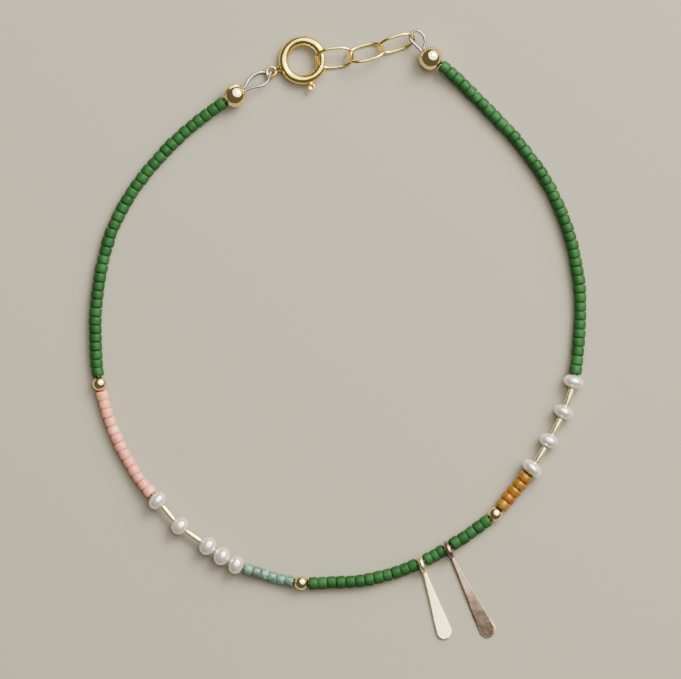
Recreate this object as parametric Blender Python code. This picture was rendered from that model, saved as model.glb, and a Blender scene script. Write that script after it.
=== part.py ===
"""Seed bead bracelet with a spring ring clasp, lying closed on a flat surface.

The bracelet is a closed loop. Every piece takes its own length of one smooth
route, in the order of STRINGING, and the route is scaled so that it is exactly
as long as all the pieces. X runs across the loop, +Y points at the clasp and
+Z points up from the surface at Z = 0.
"""

import math

import bmesh
import bpy
from mathutils import Matrix, Vector

MM = 0.001

# Seed beads: one size, with small shares for each colour in RUNS
SEED_DIAMETER = 1.60 * MM
SEED_PITCH = 1.115 * MM

# Round metal beads and the covers over the crimps
GOLD_BEAD_DIAMETER = 1.85 * MM
CRIMP_DIAMETER = 3.00 * MM
BEAD_HOLE = 0.50 * MM
CRIMP_HOLE = 0.96 * MM

# Pearls, flattened along the string, and the metal tubes between them
PEARL_LENGTH = 2.10 * MM
PEARL_DIAMETER = 2.50 * MM
GOLD_TUBE_LENGTH = 2.15 * MM
GOLD_TUBE_DIAMETER = 0.75 * MM
GOLD_TUBE_HOLE = 0.45 * MM

# Clearance between neighbours on the string
STRING_GAP = 0.04 * MM
# How fast the string comes down beside a large bead, as a slope
STRING_SLOPE = 0.16

# Beading wire and its two end loops
WIRE_DIAMETER = 0.37 * MM
LEFT_LOOP_LENGTH = 3.90 * MM
RIGHT_LOOP_LENGTH = 2.45 * MM
LEFT_LOOP_WIDTH = 1.80 * MM
RIGHT_LOOP_WIDTH = 1.70 * MM
WIRE_CLEARANCE = 0.06 * MM

# Oval cable chain
LINK_LENGTH = 4.90 * MM
LINK_WIDTH = 3.40 * MM
LINK_WIRE = 0.40 * MM
LINK_PLAY = 0.10 * MM
LINK_ROUNDNESS = 2.6
LINK_ROLLS = {
    "chain_link_3": -60.0,
    "chain_link_2": 46.0,
    "chain_link_1": -43.0,
}

# Spring ring: angles are counter-clockwise about its centre, from the mouth
RING_OUTER_DIAMETER = 6.10 * MM
RING_TUBE_DIAMETER = 1.20 * MM
RING_BORE_DIAMETER = 0.86 * MM
BOLT_DIAMETER = 0.74 * MM
MOUTH_LOW = -16.0
MOUTH_HIGH = 22.0
BOLT_SEAT = 4.0
BOLT_TAIL = -84.0
BORE_SPARE = 6.0
KNOB_ANGLE = -70.0
KNOB_WIDTH = 0.90 * MM
KNOB_THICKNESS = 0.50 * MM
KNOB_STEM_WIDTH = 0.46 * MM
KNOB_STEM_THICKNESS = 0.32 * MM
SLIDE_CLEARANCE = 0.07 * MM
EYE_ANGLE = 201.0
EYE_DIAMETER = 1.56 * MM
EYE_WIRE = 0.40 * MM
NECK_LENGTH = 0.38 * MM
NECK_DIAMETER = 0.84 * MM
# Width of the neck at the eye, as a share of its width at the tube
NECK_SHARE = 0.55

# Paddle drops on upright bails
BAIL_DIAMETER = 2.35 * MM
BAIL_WIRE = 0.68 * MM
BAIL_ROOM = 0.92 * MM
BAIL_PLAY = 0.06 * MM
PADDLE_THICKNESS = 0.40 * MM
NECK_WIDTH = 0.50 * MM
# Where the paddle starts inside the bail, as a share of the bail's radius
ROOT_SHARE = 0.55
DROPS = {
    "drop_short": {"length": 11.1 * MM, "width": 1.95 * MM, "lean": -6.5},
    "drop_long": {"length": 13.4 * MM, "width": 2.10 * MM, "lean": -5.5},
}
# Half widths of a paddle along its free length, as shares of that length and
# of the way from the neck's width to the end's width
PADDLE_SHAPE = (
    {"along": 0.00, "widening": 0.00},
    {"along": 0.20, "widening": 0.16},
    {"along": 0.40, "widening": 0.34},
    {"along": 0.60, "widening": 0.56},
    {"along": 0.80, "widening": 0.82},
)

# Runs of seed beads: shares of SEED_DIAMETER and SEED_PITCH
RUNS = {
    "green_left": {"beads": 36, "diameter": 1.00, "pitch": 1.00, "colour": "green"},
    "pink": {"beads": 13, "diameter": 0.95, "pitch": 1.00, "colour": "pink"},
    "teal": {"beads": 6, "diameter": 0.88, "pitch": 0.965, "colour": "teal"},
    "green_bottom": {"beads": 12, "diameter": 1.00, "pitch": 1.04, "colour": "green"},
    "green_between": {"beads": 3, "diameter": 1.00, "pitch": 0.84, "colour": "green"},
    "green_beside": {"beads": 5, "diameter": 1.00, "pitch": 1.04, "colour": "green"},
    "amber": {"beads": 5, "diameter": 1.17, "pitch": 0.985, "colour": "amber"},
    "green_right": {"beads": 40, "diameter": 1.00, "pitch": 1.00, "colour": "green"},
}

# Pearls: shares of PEARL_LENGTH and PEARL_DIAMETER, and how far each one
# leans from square to the string, in degrees
PEARLS = {
    "pearl_1": {"length": 0.93, "diameter": 1.04, "lean": 8.0},
    "pearl_2": {"length": 0.97, "diameter": 0.96, "lean": -4.0},
    "pearl_3": {"length": 1.01, "diameter": 0.97, "lean": 0.0},
    "pearl_4": {"length": 1.01, "diameter": 0.95, "lean": 5.0},
    "pearl_5": {"length": 0.95, "diameter": 0.97, "lean": 3.0},
    "pearl_6": {"length": 0.835, "diameter": 1.19, "lean": -8.0},
    "pearl_7": {"length": 0.88, "diameter": 1.03, "lean": 6.0},
    "pearl_8": {"length": 0.835, "diameter": 1.08, "lean": -5.0},
    "pearl_9": {"length": 0.835, "diameter": 1.07, "lean": -6.0},
}

# Order of the pieces on the string, from the left crimp cover down the left
# side, along the bottom and up the right side
STRINGING = (
    "crimp_cover_left", "green_left", "gold_bead_left", "pink",
    "pearl_1", "gold_tube_1", "pearl_2", "gold_tube_2",
    "pearl_3", "pearl_4", "pearl_5", "teal",
    "gold_bead_bottom", "green_bottom", "drop_short", "green_between",
    "drop_long", "green_beside", "gold_bead_right", "amber",
    "pearl_6", "gold_tube_3", "pearl_7", "gold_tube_4",
    "pearl_8", "gold_tube_5", "pearl_9", "green_right",
    "crimp_cover_right",
)

# Route of the closed loop seen from above, in millimetres, chosen by hand. It
# starts at the left crimp cover and ends at the eye of the clasp.
ROUTE = (
    (-12.85, 30.05), (-15.30, 28.50), (-20.25, 24.45), (-24.45, 19.75),
    (-27.75, 14.40), (-29.60, 8.25), (-30.30, 2.00), (-30.05, -4.40),
    (-29.25, -8.25), (-28.34, -11.10), (-26.80, -14.45), (-25.13, -17.38),
    (-22.50, -20.55), (-19.75, -23.70), (-16.30, -26.20), (-12.85, -28.50),
    (-9.75, -29.65), (-4.60, -30.85), (0.00, -30.75), (3.40, -30.50),
    (6.75, -29.70), (10.40, -28.25), (13.75, -26.45), (18.40, -23.30),
    (19.60, -22.30), (21.90, -19.50), (24.20, -16.55), (26.35, -13.05),
    (28.10, -9.60), (29.40, -5.80), (30.05, -1.15), (30.25, 5.20),
    (29.25, 11.50), (27.00, 17.60), (23.45, 23.15), (19.00, 28.10),
    (13.90, 33.05), (11.55, 34.70), (9.70, 37.25), (7.45, 36.40),
    (3.60, 35.50), (-0.45, 34.40), (-4.50, 34.45), (-8.40, 32.85),
)

# Facet counts
BEAD_SIDES = 16
BEAD_RINGS = 9
TUBE_SIDES = 12
LINK_STEPS = 20
LINK_SIDES = 6
RING_SIDES = 14
RING_STEP = 9.0
BOLT_SIDES = 10
EYE_STEPS = 14
BAIL_STEPS = 16
BAIL_SIDES = 10
END_STEPS = 10
RUN_STEP = 2.0
ROUTE_STEPS = 24
LOOP_STEPS = 3
SMOOTH_ANGLE = math.radians(40.0)

# Colour, roughness and metallic value of each material
FINISHES = {
    "green": ((0.045, 0.205, 0.080), 0.55, 0.0),
    "pink": ((0.830, 0.480, 0.420), 0.50, 0.0),
    "teal": ((0.300, 0.540, 0.460), 0.45, 0.0),
    "amber": ((0.600, 0.230, 0.025), 0.30, 0.0),
    "pearl": ((0.870, 0.840, 0.790), 0.30, 0.0),
    "gold": ((0.900, 0.680, 0.300), 0.25, 1.0),
    "rose": ((0.620, 0.440, 0.380), 0.35, 1.0),
    "wire": ((0.680, 0.650, 0.700), 0.35, 1.0),
}


def clear_scene():
    for thing in list(bpy.data.objects):
        bpy.data.objects.remove(thing, do_unlink=True)


def make_materials():
    materials = {}
    for name, (colour, roughness, metallic) in FINISHES.items():
        material = bpy.data.materials.new(name)
        material.use_nodes = True
        shader = material.node_tree.nodes["Principled BSDF"]
        shader.inputs["Base Color"].default_value = (*colour, 1.0)
        shader.inputs["Roughness"].default_value = roughness
        shader.inputs["Metallic"].default_value = metallic
        materials[name] = material
    return materials


def curve_between(before, start, end, after, share):
    """Point on a centripetal Catmull-Rom span, from start to end."""
    knots = [0.0]
    for first, second in ((before, start), (start, end), (end, after)):
        knots.append(knots[-1] + math.sqrt((second - first).length))
    place = knots[1] + (knots[2] - knots[1]) * share

    def blend(a, b, low, high):
        return a.lerp(b, (place - knots[low]) / (knots[high] - knots[low]))

    first = blend(before, start, 0, 1)
    second = blend(start, end, 1, 2)
    third = blend(end, after, 2, 3)
    return blend(blend(first, second, 0, 2), blend(second, third, 1, 3), 1, 2)


def smooth_line(points, steps, closed):
    """Dense smooth line through the chosen points."""
    line = []
    count = len(points)
    spans = count if closed else count - 1
    for i in range(spans):
        if closed:
            before, after = points[i - 1], points[(i + 2) % count]
        else:
            before = points[i - 1] if i else points[0] * 2 - points[1]
            last = i + 2 >= count
            after = points[-1] * 2 - points[-2] if last else points[i + 2]
        for k in range(steps):
            line.append(curve_between(before, points[i], points[(i + 1) % count], after, k / steps))
    line.append(points[0].copy() if closed else points[-1].copy())
    return line


class Route:
    """The loop's smooth line, measured along its length and scaled to fit."""

    def __init__(self, length):
        line = smooth_line([Vector((x * MM, y * MM, 0.0)) for x, y in ROUTE], ROUTE_STEPS, True)
        natural = sum((b - a).length for a, b in zip(line, line[1:]))
        scale = length / natural
        self.line = [point * scale for point in line]
        self.marks = [0.0]
        for a, b in zip(self.line, self.line[1:]):
            self.marks.append(self.marks[-1] + (b - a).length)
        self.length = self.marks[-1]

    def at(self, distance):
        distance = distance % self.length
        low, high = 0, len(self.marks) - 1
        while high - low > 1:
            middle = (low + high) // 2
            if self.marks[middle] <= distance:
                low = middle
            else:
                high = middle
        span = self.marks[high] - self.marks[low]
        return self.line[low].lerp(self.line[high], (distance - self.marks[low]) / span)


def bead_size(name):
    """Length along the string and diameter of a round bead or tube."""
    if name in PEARLS:
        row = PEARLS[name]
        return PEARL_LENGTH * row["length"], PEARL_DIAMETER * row["diameter"]
    if name.startswith("gold_bead"):
        return GOLD_BEAD_DIAMETER, GOLD_BEAD_DIAMETER
    if name.startswith("gold_tube"):
        return GOLD_TUBE_LENGTH, GOLD_TUBE_DIAMETER
    return CRIMP_DIAMETER, CRIMP_DIAMETER


def stretch(name):
    """Length of the route that a piece takes, without its clearance."""
    if name in RUNS:
        row = RUNS[name]
        return row["beads"] * SEED_PITCH * row["pitch"]
    if name in DROPS:
        return BAIL_ROOM
    return bead_size(name)[0]


def carried_radius(name):
    """Height of the string's centre where this piece rests on the surface."""
    if name in RUNS:
        return SEED_DIAMETER * RUNS[name]["diameter"] / 2
    if name in DROPS:
        return BAIL_DIAMETER / 2 - (BAIL_DIAMETER / 2 - BAIL_WIRE) / 2
    return bead_size(name)[1] / 2


LINK_SPAN = LINK_LENGTH - 2 * LINK_WIRE - LINK_PLAY
RING_RADIUS = (RING_OUTER_DIAMETER - RING_TUBE_DIAMETER) / 2
EYE_REACH = RING_OUTER_DIAMETER / 2 + NECK_LENGTH + EYE_DIAMETER / 2
BOLT_TIP = MOUTH_HIGH + BOLT_SEAT
TRIGGER_TRAVEL = BOLT_TIP - MOUTH_LOW


def lay_out():
    """Distance along the loop of each piece's start and end."""
    spans = {}
    cursor = -bead_size("crimp_cover_left")[0] / 2
    for name in STRINGING:
        end = cursor + stretch(name)
        spans[name] = (cursor, end)
        cursor = end + STRING_GAP
    cursor += RIGHT_LOOP_LENGTH - STRING_GAP
    spans["right_junction"] = (cursor, cursor)
    # The wire loop holds link 3 as one link holds the next
    centre = cursor - LINK_WIRE - WIRE_DIAMETER / 2 - WIRE_CLEARANCE + LINK_LENGTH / 2
    for name in ("chain_link_3", "chain_link_2", "chain_link_1"):
        spans[name] = (centre - LINK_LENGTH / 2, centre + LINK_LENGTH / 2)
        centre += LINK_SPAN
    mouth = spans["chain_link_1"][1] - LINK_WIRE - BOLT_DIAMETER / 2 - LINK_PLAY
    spans["mouth"] = (mouth, mouth)
    ring = mouth + RING_RADIUS
    spans["ring"] = (ring, ring)
    eye = ring + EYE_REACH
    spans["eye"] = (eye, eye)
    total = eye + LEFT_LOOP_LENGTH + bead_size("crimp_cover_left")[0] / 2
    return spans, total


def make_object(name, data, material, parent, matrix):
    thing = bpy.data.objects.new(name, data)
    bpy.context.scene.collection.objects.link(thing)
    data.materials.append(material)
    thing.parent = parent
    thing.matrix_world = parent.matrix_world @ matrix
    return thing


def mesh_from(name, points, faces):
    """Mesh of the points and faces, with its faces pointing out."""
    mesh = bpy.data.meshes.new(name)
    build = bmesh.new()
    corners = [build.verts.new(point) for point in points]
    for face in faces:
        build.faces.new([corners[i] for i in face])
    bmesh.ops.recalc_face_normals(build, faces=build.faces)
    build.to_mesh(mesh)
    build.free()
    return mesh


def smooth(mesh):
    mesh.shade_smooth()
    mesh.set_sharp_from_angle(angle=SMOOTH_ANGLE)


def strip_faces(rings, sides, closed):
    """Quads between rings of points, with end caps where the row is open."""
    faces = []
    for i in range(rings if closed else rings - 1):
        here = i * sides
        there = ((i + 1) % rings) * sides
        for k in range(sides):
            n = (k + 1) % sides
            faces.append((here + k, here + n, there + n, there + k))
    if not closed:
        faces.append(tuple(range(sides)))
        faces.append(tuple(range((rings - 1) * sides, rings * sides)))
    return faces


def round_section(radius, sides):
    turn = 2 * math.pi / sides
    return [(radius * math.cos(k * turn), radius * math.sin(k * turn)) for k in range(sides)]


def arc_mesh(name, radius, start, end, section, steps=None):
    """Section swept about Z from one angle to the other, in degrees."""
    steps = steps or max(2, math.ceil(abs(end - start) / RING_STEP))
    closed = abs(end - start) >= 360.0
    rows = steps if closed else steps + 1
    points = []
    for i in range(rows):
        angle = math.radians(start + (end - start) * i / steps)
        for out, up in section:
            reach = radius + out
            points.append((reach * math.cos(angle), reach * math.sin(angle), up))
    return mesh_from(name, points, strip_faces(rows, len(section), closed))


def turned_bead(name, length, diameter, hole, sides, rings):
    """Round bead about X, drilled right through."""
    edge = math.asin(hole / diameter)
    profile = []
    for i in range(rings):
        angle = edge + (math.pi - 2 * edge) * i / (rings - 1)
        profile.append((-length / 2 * math.cos(angle), diameter / 2 * math.sin(angle)))
    points = []
    for along, radius in profile:
        points += [(along, y, z) for y, z in round_section(radius, sides)]
    return mesh_from(name, points, strip_faces(rings, sides, True))


def turned_tube(name, length, diameter, hole, sides):
    """Straight tube about X."""
    profile = (
        (-length / 2, hole / 2), (-length / 2, diameter / 2),
        (length / 2, diameter / 2), (length / 2, hole / 2),
    )
    points = []
    for along, radius in profile:
        points += [(along, y, z) for y, z in round_section(radius, sides)]
    return mesh_from(name, points, strip_faces(len(profile), sides, True))


def link_mesh(name):
    """Oval link in the XY plane, long in X."""
    half_length = (LINK_LENGTH - LINK_WIRE) / 2
    half_width = (LINK_WIDTH - LINK_WIRE) / 2
    power = 2 / LINK_ROUNDNESS
    centres = []
    for i in range(LINK_STEPS):
        angle = 2 * math.pi * (i + 0.5) / LINK_STEPS
        x, y = math.cos(angle), math.sin(angle)
        centres.append(Vector((
            math.copysign(abs(x) ** power, x) * half_length,
            math.copysign(abs(y) ** power, y) * half_width,
            0.0,
        )))
    points = []
    for i, centre in enumerate(centres):
        ahead = centres[(i + 1) % LINK_STEPS] - centres[i - 1]
        out = Vector((ahead.y, -ahead.x, 0.0)).normalized()
        for across, up in round_section(LINK_WIRE / 2, LINK_SIDES):
            points.append(centre + out * across + Vector((0.0, 0.0, up)))
    return mesh_from(name, points, strip_faces(LINK_STEPS, LINK_SIDES, True))


def cut(thing, tool, operation):
    """Keep a Boolean of the tool on the thing, with the tool left hidden."""
    tool.hide_render = True
    tool.display_type = "WIRE"
    modifier = thing.modifiers.new(tool.name, "BOOLEAN")
    modifier.operation = operation
    modifier.solver = "EXACT"
    modifier.object = tool


def chord_frame(start, end, lean=0.0):
    """Frame halfway from start to end, with X along the way."""
    along = (end - start).normalized()
    across = Vector((0.0, 0.0, 1.0)).cross(along).normalized()
    up = along.cross(across)
    turn = Matrix((along, across, up)).transposed().to_4x4()
    return Matrix.Translation((start + end) / 2) @ turn @ Matrix.Rotation(math.radians(lean), 4, "Z")


def outline_solid(name, outline, bottom, top):
    """Flat outline raised from one height to the other."""
    points = [(x, y, bottom) for x, y in outline] + [(x, y, top) for x, y in outline]
    return mesh_from(name, points, strip_faces(2, len(outline), False))


class Bracelet:
    """Builds every piece on the route."""

    def __init__(self):
        self.spans, total = lay_out()
        self.route = Route(total)
        self.materials = make_materials()
        self.base = bpy.data.objects.new("bracelet", None)
        bpy.context.scene.collection.objects.link(self.base)
        self.lifts = [(self.spans[name], carried_radius(name)) for name in STRINGING]

    def height(self, distance):
        """Height of the string, which the larger beads hold up."""
        heights = []
        for (start, end), radius in self.lifts:
            away = max(start - distance, distance - end, 0.0)
            heights.append(radius - STRING_SLOPE * away)
        return max(heights)

    def string_point(self, distance):
        point = self.route.at(distance).copy()
        point.z = self.height(distance)
        return point

    def middle(self, name):
        start, end = self.spans[name]
        return (start + end) / 2

    def add(self, name, mesh, finish, matrix):
        smooth(mesh)
        return make_object(name, mesh, self.materials[finish], self.base, matrix)

    def add_bead(self, name, finish, hole, lean=0.0):
        length, diameter = bead_size(name)
        start, end = (self.string_point(at) for at in self.spans[name])
        centre = self.string_point(self.middle(name))
        centre.z = max(centre.z, diameter / 2)
        start.z = end.z = centre.z
        frame = chord_frame(start, end, lean)
        frame.translation = centre
        if name.startswith("gold_tube"):
            mesh = turned_tube(name, length, diameter, hole, TUBE_SIDES)
        else:
            mesh = turned_bead(name, length, diameter, hole, BEAD_SIDES, BEAD_RINGS)
        self.add(name, mesh, finish, frame)

    def add_wire(self, name, points, radius, finish):
        """Round wire with flat ends along the points."""
        curve = bpy.data.curves.new(name, "CURVE")
        curve.dimensions = "3D"
        curve.bevel_depth = radius
        curve.bevel_resolution = 2
        curve.use_fill_caps = True
        spline = curve.splines.new("POLY")
        spline.points.add(len(points) - 1)
        for slot, point in zip(spline.points, points):
            slot.co = (*point, 1.0)
        spline.use_smooth = True
        make_object(name, curve, self.materials[finish], self.base, Matrix())

    def add_run(self, name):
        start, end = self.spans[name]
        row = RUNS[name]
        radius = SEED_DIAMETER * row["diameter"] / 2
        steps = max(2, math.ceil((end - start) / (RUN_STEP * SEED_DIAMETER)))
        points = [self.string_point(start + (end - start) * i / steps) for i in range(steps + 1)]
        for point in points:
            point.z = max(point.z, radius)
        self.add_wire(name, points, radius, row["colour"])

    def add_drop(self, name, finish):
        """Upright bail across the string, soldered to a paddle lying flat."""
        row = DROPS[name]
        middle = self.middle(name)
        span = BAIL_ROOM / 2
        start, end = self.route.at(middle - span), self.route.at(middle + span)
        frame = chord_frame(start, end, row["lean"])
        centre = self.route.at(middle).copy()
        centre.z = BAIL_DIAMETER / 2
        frame.translation = centre
        # The bail hangs outwards on the string as far as its hole lets it
        hang = BAIL_DIAMETER / 2 - BAIL_WIRE - WIRE_DIAMETER / 2 - BAIL_PLAY
        frame @= Matrix.Translation((0.0, -hang, 0.0))
        radius = (BAIL_DIAMETER - BAIL_WIRE) / 2
        bail = arc_mesh(name, radius, 0.0, 360.0, round_section(BAIL_WIRE / 2, BAIL_SIDES), BAIL_STEPS)
        # Turned so that the bail's axis lies along the string
        bail.transform(Matrix.Rotation(math.pi / 2, 4, "Y"))
        drop = self.add(name, bail, finish, frame)

        # The outside of the loop is on the right of the way along the string
        root = radius * ROOT_SHARE
        tip = row["length"] - BAIL_DIAMETER / 2
        end_radius = row["width"] / 2
        free = tip - end_radius - root
        side = []
        for place in PADDLE_SHAPE:
            half = NECK_WIDTH / 2 + (end_radius - NECK_WIDTH / 2) * place["widening"]
            side.append((half, -(root + free * place["along"])))
        for i in range(END_STEPS // 2):
            angle = math.pi / END_STEPS * (i + 0.5)
            side.append((end_radius * math.cos(angle), -(root + free) - end_radius * math.sin(angle)))
        outline = side + [(-x, y) for x, y in reversed(side)]
        floor = -BAIL_DIAMETER / 2
        paddle = outline_solid(name + "_paddle", outline, floor, floor + PADDLE_THICKNESS)
        tool = self.add(name + "_paddle", paddle, finish, frame)
        cut(drop, tool, "UNION")

    def ring_frame(self):
        """Frame of the spring ring: X to the mouth, Z square to its plane."""
        centre = self.route.at(self.middle("ring")).copy()
        mouth = self.route.at(self.middle("mouth")).copy()
        mouth_height = self.link_height("chain_link_1")
        eye_height = WIRE_DIAMETER + WIRE_CLEARANCE + EYE_WIRE / 2
        eye_along = EYE_REACH * math.cos(math.radians(EYE_ANGLE))
        slope = (mouth_height - eye_height) / (RING_RADIUS - eye_along)
        ahead = (mouth - centre).normalized()
        centre.z = mouth_height - slope * RING_RADIUS
        ahead.z = slope
        ahead.normalize()
        across = Vector((0.0, 0.0, 1.0)).cross(ahead).normalized()
        turn = Matrix((ahead, across, ahead.cross(across))).transposed().to_4x4()
        return Matrix.Translation(centre) @ turn

    def link_height(self, name):
        rise = math.sin(math.radians(abs(LINK_ROLLS[name]))) * (LINK_WIDTH - LINK_WIRE) / 2
        return rise + LINK_WIRE / 2

    def add_links(self):
        for name, roll in LINK_ROLLS.items():
            start, end = (self.route.at(at).copy() for at in self.spans[name])
            start.z = end.z = self.link_height(name)
            frame = chord_frame(start, end) @ Matrix.Rotation(math.radians(roll), 4, "X")
            self.add(name, link_mesh(name), "gold", frame)

    def add_clasp(self):
        frame = self.ring_frame()
        tube = round_section(RING_TUBE_DIAMETER / 2, RING_SIDES)
        ring = self.add(
            "spring_ring",
            arc_mesh("spring_ring", RING_RADIUS, MOUTH_HIGH, 360.0 + MOUTH_LOW, tube),
            "gold", frame,
        )
        neck = self.add("neck_tool", self.neck_mesh(), "gold", frame)
        cut(ring, neck, "UNION")
        eye_mesh = arc_mesh(
            "eye_tool", (EYE_DIAMETER - EYE_WIRE) / 2, 0.0, 360.0,
            round_section(EYE_WIRE / 2, LINK_SIDES + 2), EYE_STEPS,
        )
        eye_mesh.transform(Matrix.Translation(self.eye_offset()))
        cut(ring, self.add("eye_tool", eye_mesh, "gold", frame), "UNION")

        # Bore for the bolt on one side of the mouth, its seat on the other
        bore = round_section(RING_BORE_DIAMETER / 2, BOLT_SIDES)
        back = BOLT_TAIL - TRIGGER_TRAVEL - BORE_SPARE
        bore_mesh = arc_mesh("bore_tool", RING_RADIUS, back, MOUTH_LOW + BORE_SPARE, bore)
        cut(ring, self.add("bore_tool", bore_mesh, "gold", frame), "DIFFERENCE")
        seat_mesh = arc_mesh(
            "seat_tool", RING_RADIUS, MOUTH_HIGH - BORE_SPARE, BOLT_TIP + BORE_SPARE, bore)
        cut(ring, self.add("seat_tool", seat_mesh, "gold", frame), "DIFFERENCE")

        # Slot on the outside of the tube for the knob's stem
        half_angle = math.degrees((KNOB_STEM_WIDTH / 2 + SLIDE_CLEARANCE) / RING_RADIUS)
        half_slot = KNOB_STEM_THICKNESS / 2 + SLIDE_CLEARANCE
        slot = (
            (0.0, -half_slot), (RING_TUBE_DIAMETER, -half_slot),
            (RING_TUBE_DIAMETER, half_slot), (0.0, half_slot),
        )
        slot_mesh = arc_mesh(
            "slot_tool", RING_RADIUS, KNOB_ANGLE - TRIGGER_TRAVEL - half_angle,
            KNOB_ANGLE + half_angle, slot,
        )
        cut(ring, self.add("slot_tool", slot_mesh, "gold", frame), "DIFFERENCE")
        self.add_trigger(frame)

    def eye_offset(self):
        angle = math.radians(EYE_ANGLE)
        return Vector((math.cos(angle), math.sin(angle), 0.0)) * EYE_REACH

    def neck_mesh(self):
        """Short bar from the middle of the tube to the rim of the eye."""
        points = []
        far = EYE_REACH - EYE_DIAMETER / 2 + EYE_WIRE / 2
        for reach, share in ((RING_RADIUS, 1.0), (RING_OUTER_DIAMETER / 2, 1.0), (far, NECK_SHARE)):
            for y, z in round_section(NECK_DIAMETER / 2 * share, BOLT_SIDES):
                points.append(Vector((reach, y, z)))
        mesh = mesh_from("neck_tool", points, strip_faces(3, BOLT_SIDES, False))
        mesh.transform(Matrix.Rotation(math.radians(EYE_ANGLE), 4, "Z"))
        return mesh

    def add_trigger(self, frame):
        bolt = self.add(
            "clasp_trigger",
            arc_mesh(
                "clasp_trigger", RING_RADIUS, BOLT_TAIL, BOLT_TIP,
                round_section(BOLT_DIAMETER / 2, BOLT_SIDES),
            ),
            "gold", frame,
        )
        half = KNOB_STEM_WIDTH / 2
        tube_edge = RING_OUTER_DIAMETER / 2
        head = KNOB_WIDTH / 2
        stem = ((RING_RADIUS, -half), (tube_edge + head, -half), (tube_edge + head, half), (RING_RADIUS, half))
        stem_mesh = outline_solid(
            "stem_tool", stem, -KNOB_STEM_THICKNESS / 2, KNOB_STEM_THICKNESS / 2)
        turn = Matrix.Rotation(math.radians(KNOB_ANGLE), 4, "Z")
        stem_mesh.transform(turn)
        cut(bolt, self.add("stem_tool", stem_mesh, "gold", frame), "UNION")
        middle = tube_edge + SLIDE_CLEARANCE + head
        outline = [(middle + x, y) for x, y in round_section(head, BEAD_SIDES)]
        head_mesh = outline_solid("head_tool", outline, -KNOB_THICKNESS / 2, KNOB_THICKNESS / 2)
        head_mesh.transform(turn)
        cut(bolt, self.add("head_tool", head_mesh, "gold", frame), "UNION")

    def loop_path(self, crimp_name, heading, hold, rows):
        """Smooth line that leaves a crimp cover, rounds the hold and returns.

        Each row holds a share of the way to the hold, an offset to the left
        of that way and a height.
        """
        spread = WIRE_DIAMETER / 2 + WIRE_CLEARANCE / 2
        crimp = self.string_point(self.middle(crimp_name))
        start, end = (self.route.at(at) for at in self.spans[crimp_name])
        axis = (end - start).normalized() * heading
        side = Vector((0.0, 0.0, 1.0)).cross(axis)
        mouth = crimp + axis * (CRIMP_DIAMETER / 2)
        way = Vector((hold.x - mouth.x, hold.y - mouth.y, 0.0))
        left = Vector((0.0, 0.0, 1.0)).cross(way.normalized())
        chosen = [crimp + axis * (CRIMP_DIAMETER / 5) + side * spread, mouth + side * spread]
        for share, offset, height in rows:
            chosen.append(Vector((mouth.x, mouth.y, 0.0)) + way * share + left * offset)
            chosen[-1].z = height
        chosen += [mouth - side * spread, crimp + axis * (CRIMP_DIAMETER / 5) - side * spread]
        return smooth_line(chosen, LOOP_STEPS, False)

    def add_wire_loops(self):
        """Each end of the wire turns back through the clasp or the chain."""
        radius = WIRE_DIAMETER / 2
        eye = self.ring_frame() @ self.eye_offset()
        crimp = self.string_point(self.middle("crimp_cover_left"))
        wide = LEFT_LOOP_WIDTH / 2
        rim = (EYE_DIAMETER - EYE_WIRE) / 2 / (eye.xy - crimp.xy).length
        under = eye.z - EYE_WIRE / 2 - WIRE_CLEARANCE - radius
        over = eye.z + EYE_WIRE / 2 + WIRE_CLEARANCE + radius
        middle = (crimp.z + eye.z) / 2
        # The left loop passes under the rim of the eye and back over it
        rows = (
            (0.22, wide * 0.70, crimp.z * 0.88),
            (0.48, wide, middle * 0.75),
            (1.0 - rim * 2.6, wide * 0.80, under + radius * 0.5),
            (1.0 - rim * 1.5, wide * 0.40, under),
            (1.0 - rim * 0.7, wide * 0.12, under + radius * 0.2),
            (1.0, 0.0, eye.z),
            (1.0 - rim * 0.7, -wide * 0.15, over - radius * 0.2),
            (1.0 - rim * 1.5, -wide * 0.45, over),
            (1.0 - rim * 2.6, -wide * 0.85, over + radius * 0.2),
            (0.48, -wide * 0.90, crimp.z * 0.95),
            (0.22, -wide * 0.45, crimp.z),
        )
        path = self.loop_path("crimp_cover_left", -1.0, eye, rows)
        self.add_wire("wire_loop_left", path, radius, "wire")

        # The right loop goes through the end of the chain and bulges past it
        hold = self.route.at(self.middle("right_junction")).copy()
        level = self.link_height("chain_link_3")
        wide = RIGHT_LOOP_WIDTH
        rows = (
            (0.38, wide * 0.10, level),
            (0.75, wide * 0.08, level),
            (1.00, 0.0, level),
            (1.14, -wide * 0.38, level),
            (1.06, -wide * 0.69, level),
            (0.79, -wide * 0.84, level),
            (0.45, -wide * 0.78, level),
            (0.16, -wide * 0.51, level),
        )
        path = self.loop_path("crimp_cover_right", 1.0, hold, rows)
        self.add_wire("wire_loop_right", path, radius, "wire")

    def centre_on_surface(self):
        """Put the middle of the loop's footprint over the origin."""
        bpy.context.view_layer.update()
        graph = bpy.context.evaluated_depsgraph_get()
        corners = []
        for thing in bpy.data.objects:
            if thing.type == "EMPTY" or thing.hide_render:
                continue
            shape = thing.evaluated_get(graph)
            mesh = shape.to_mesh()
            corners += [shape.matrix_world @ point.co for point in mesh.vertices]
            shape.to_mesh_clear()
        lows = [min(corner[axis] for corner in corners) for axis in range(3)]
        highs = [max(corner[axis] for corner in corners) for axis in range(3)]
        self.base.location = (-(lows[0] + highs[0]) / 2, -(lows[1] + highs[1]) / 2, -lows[2])

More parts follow.
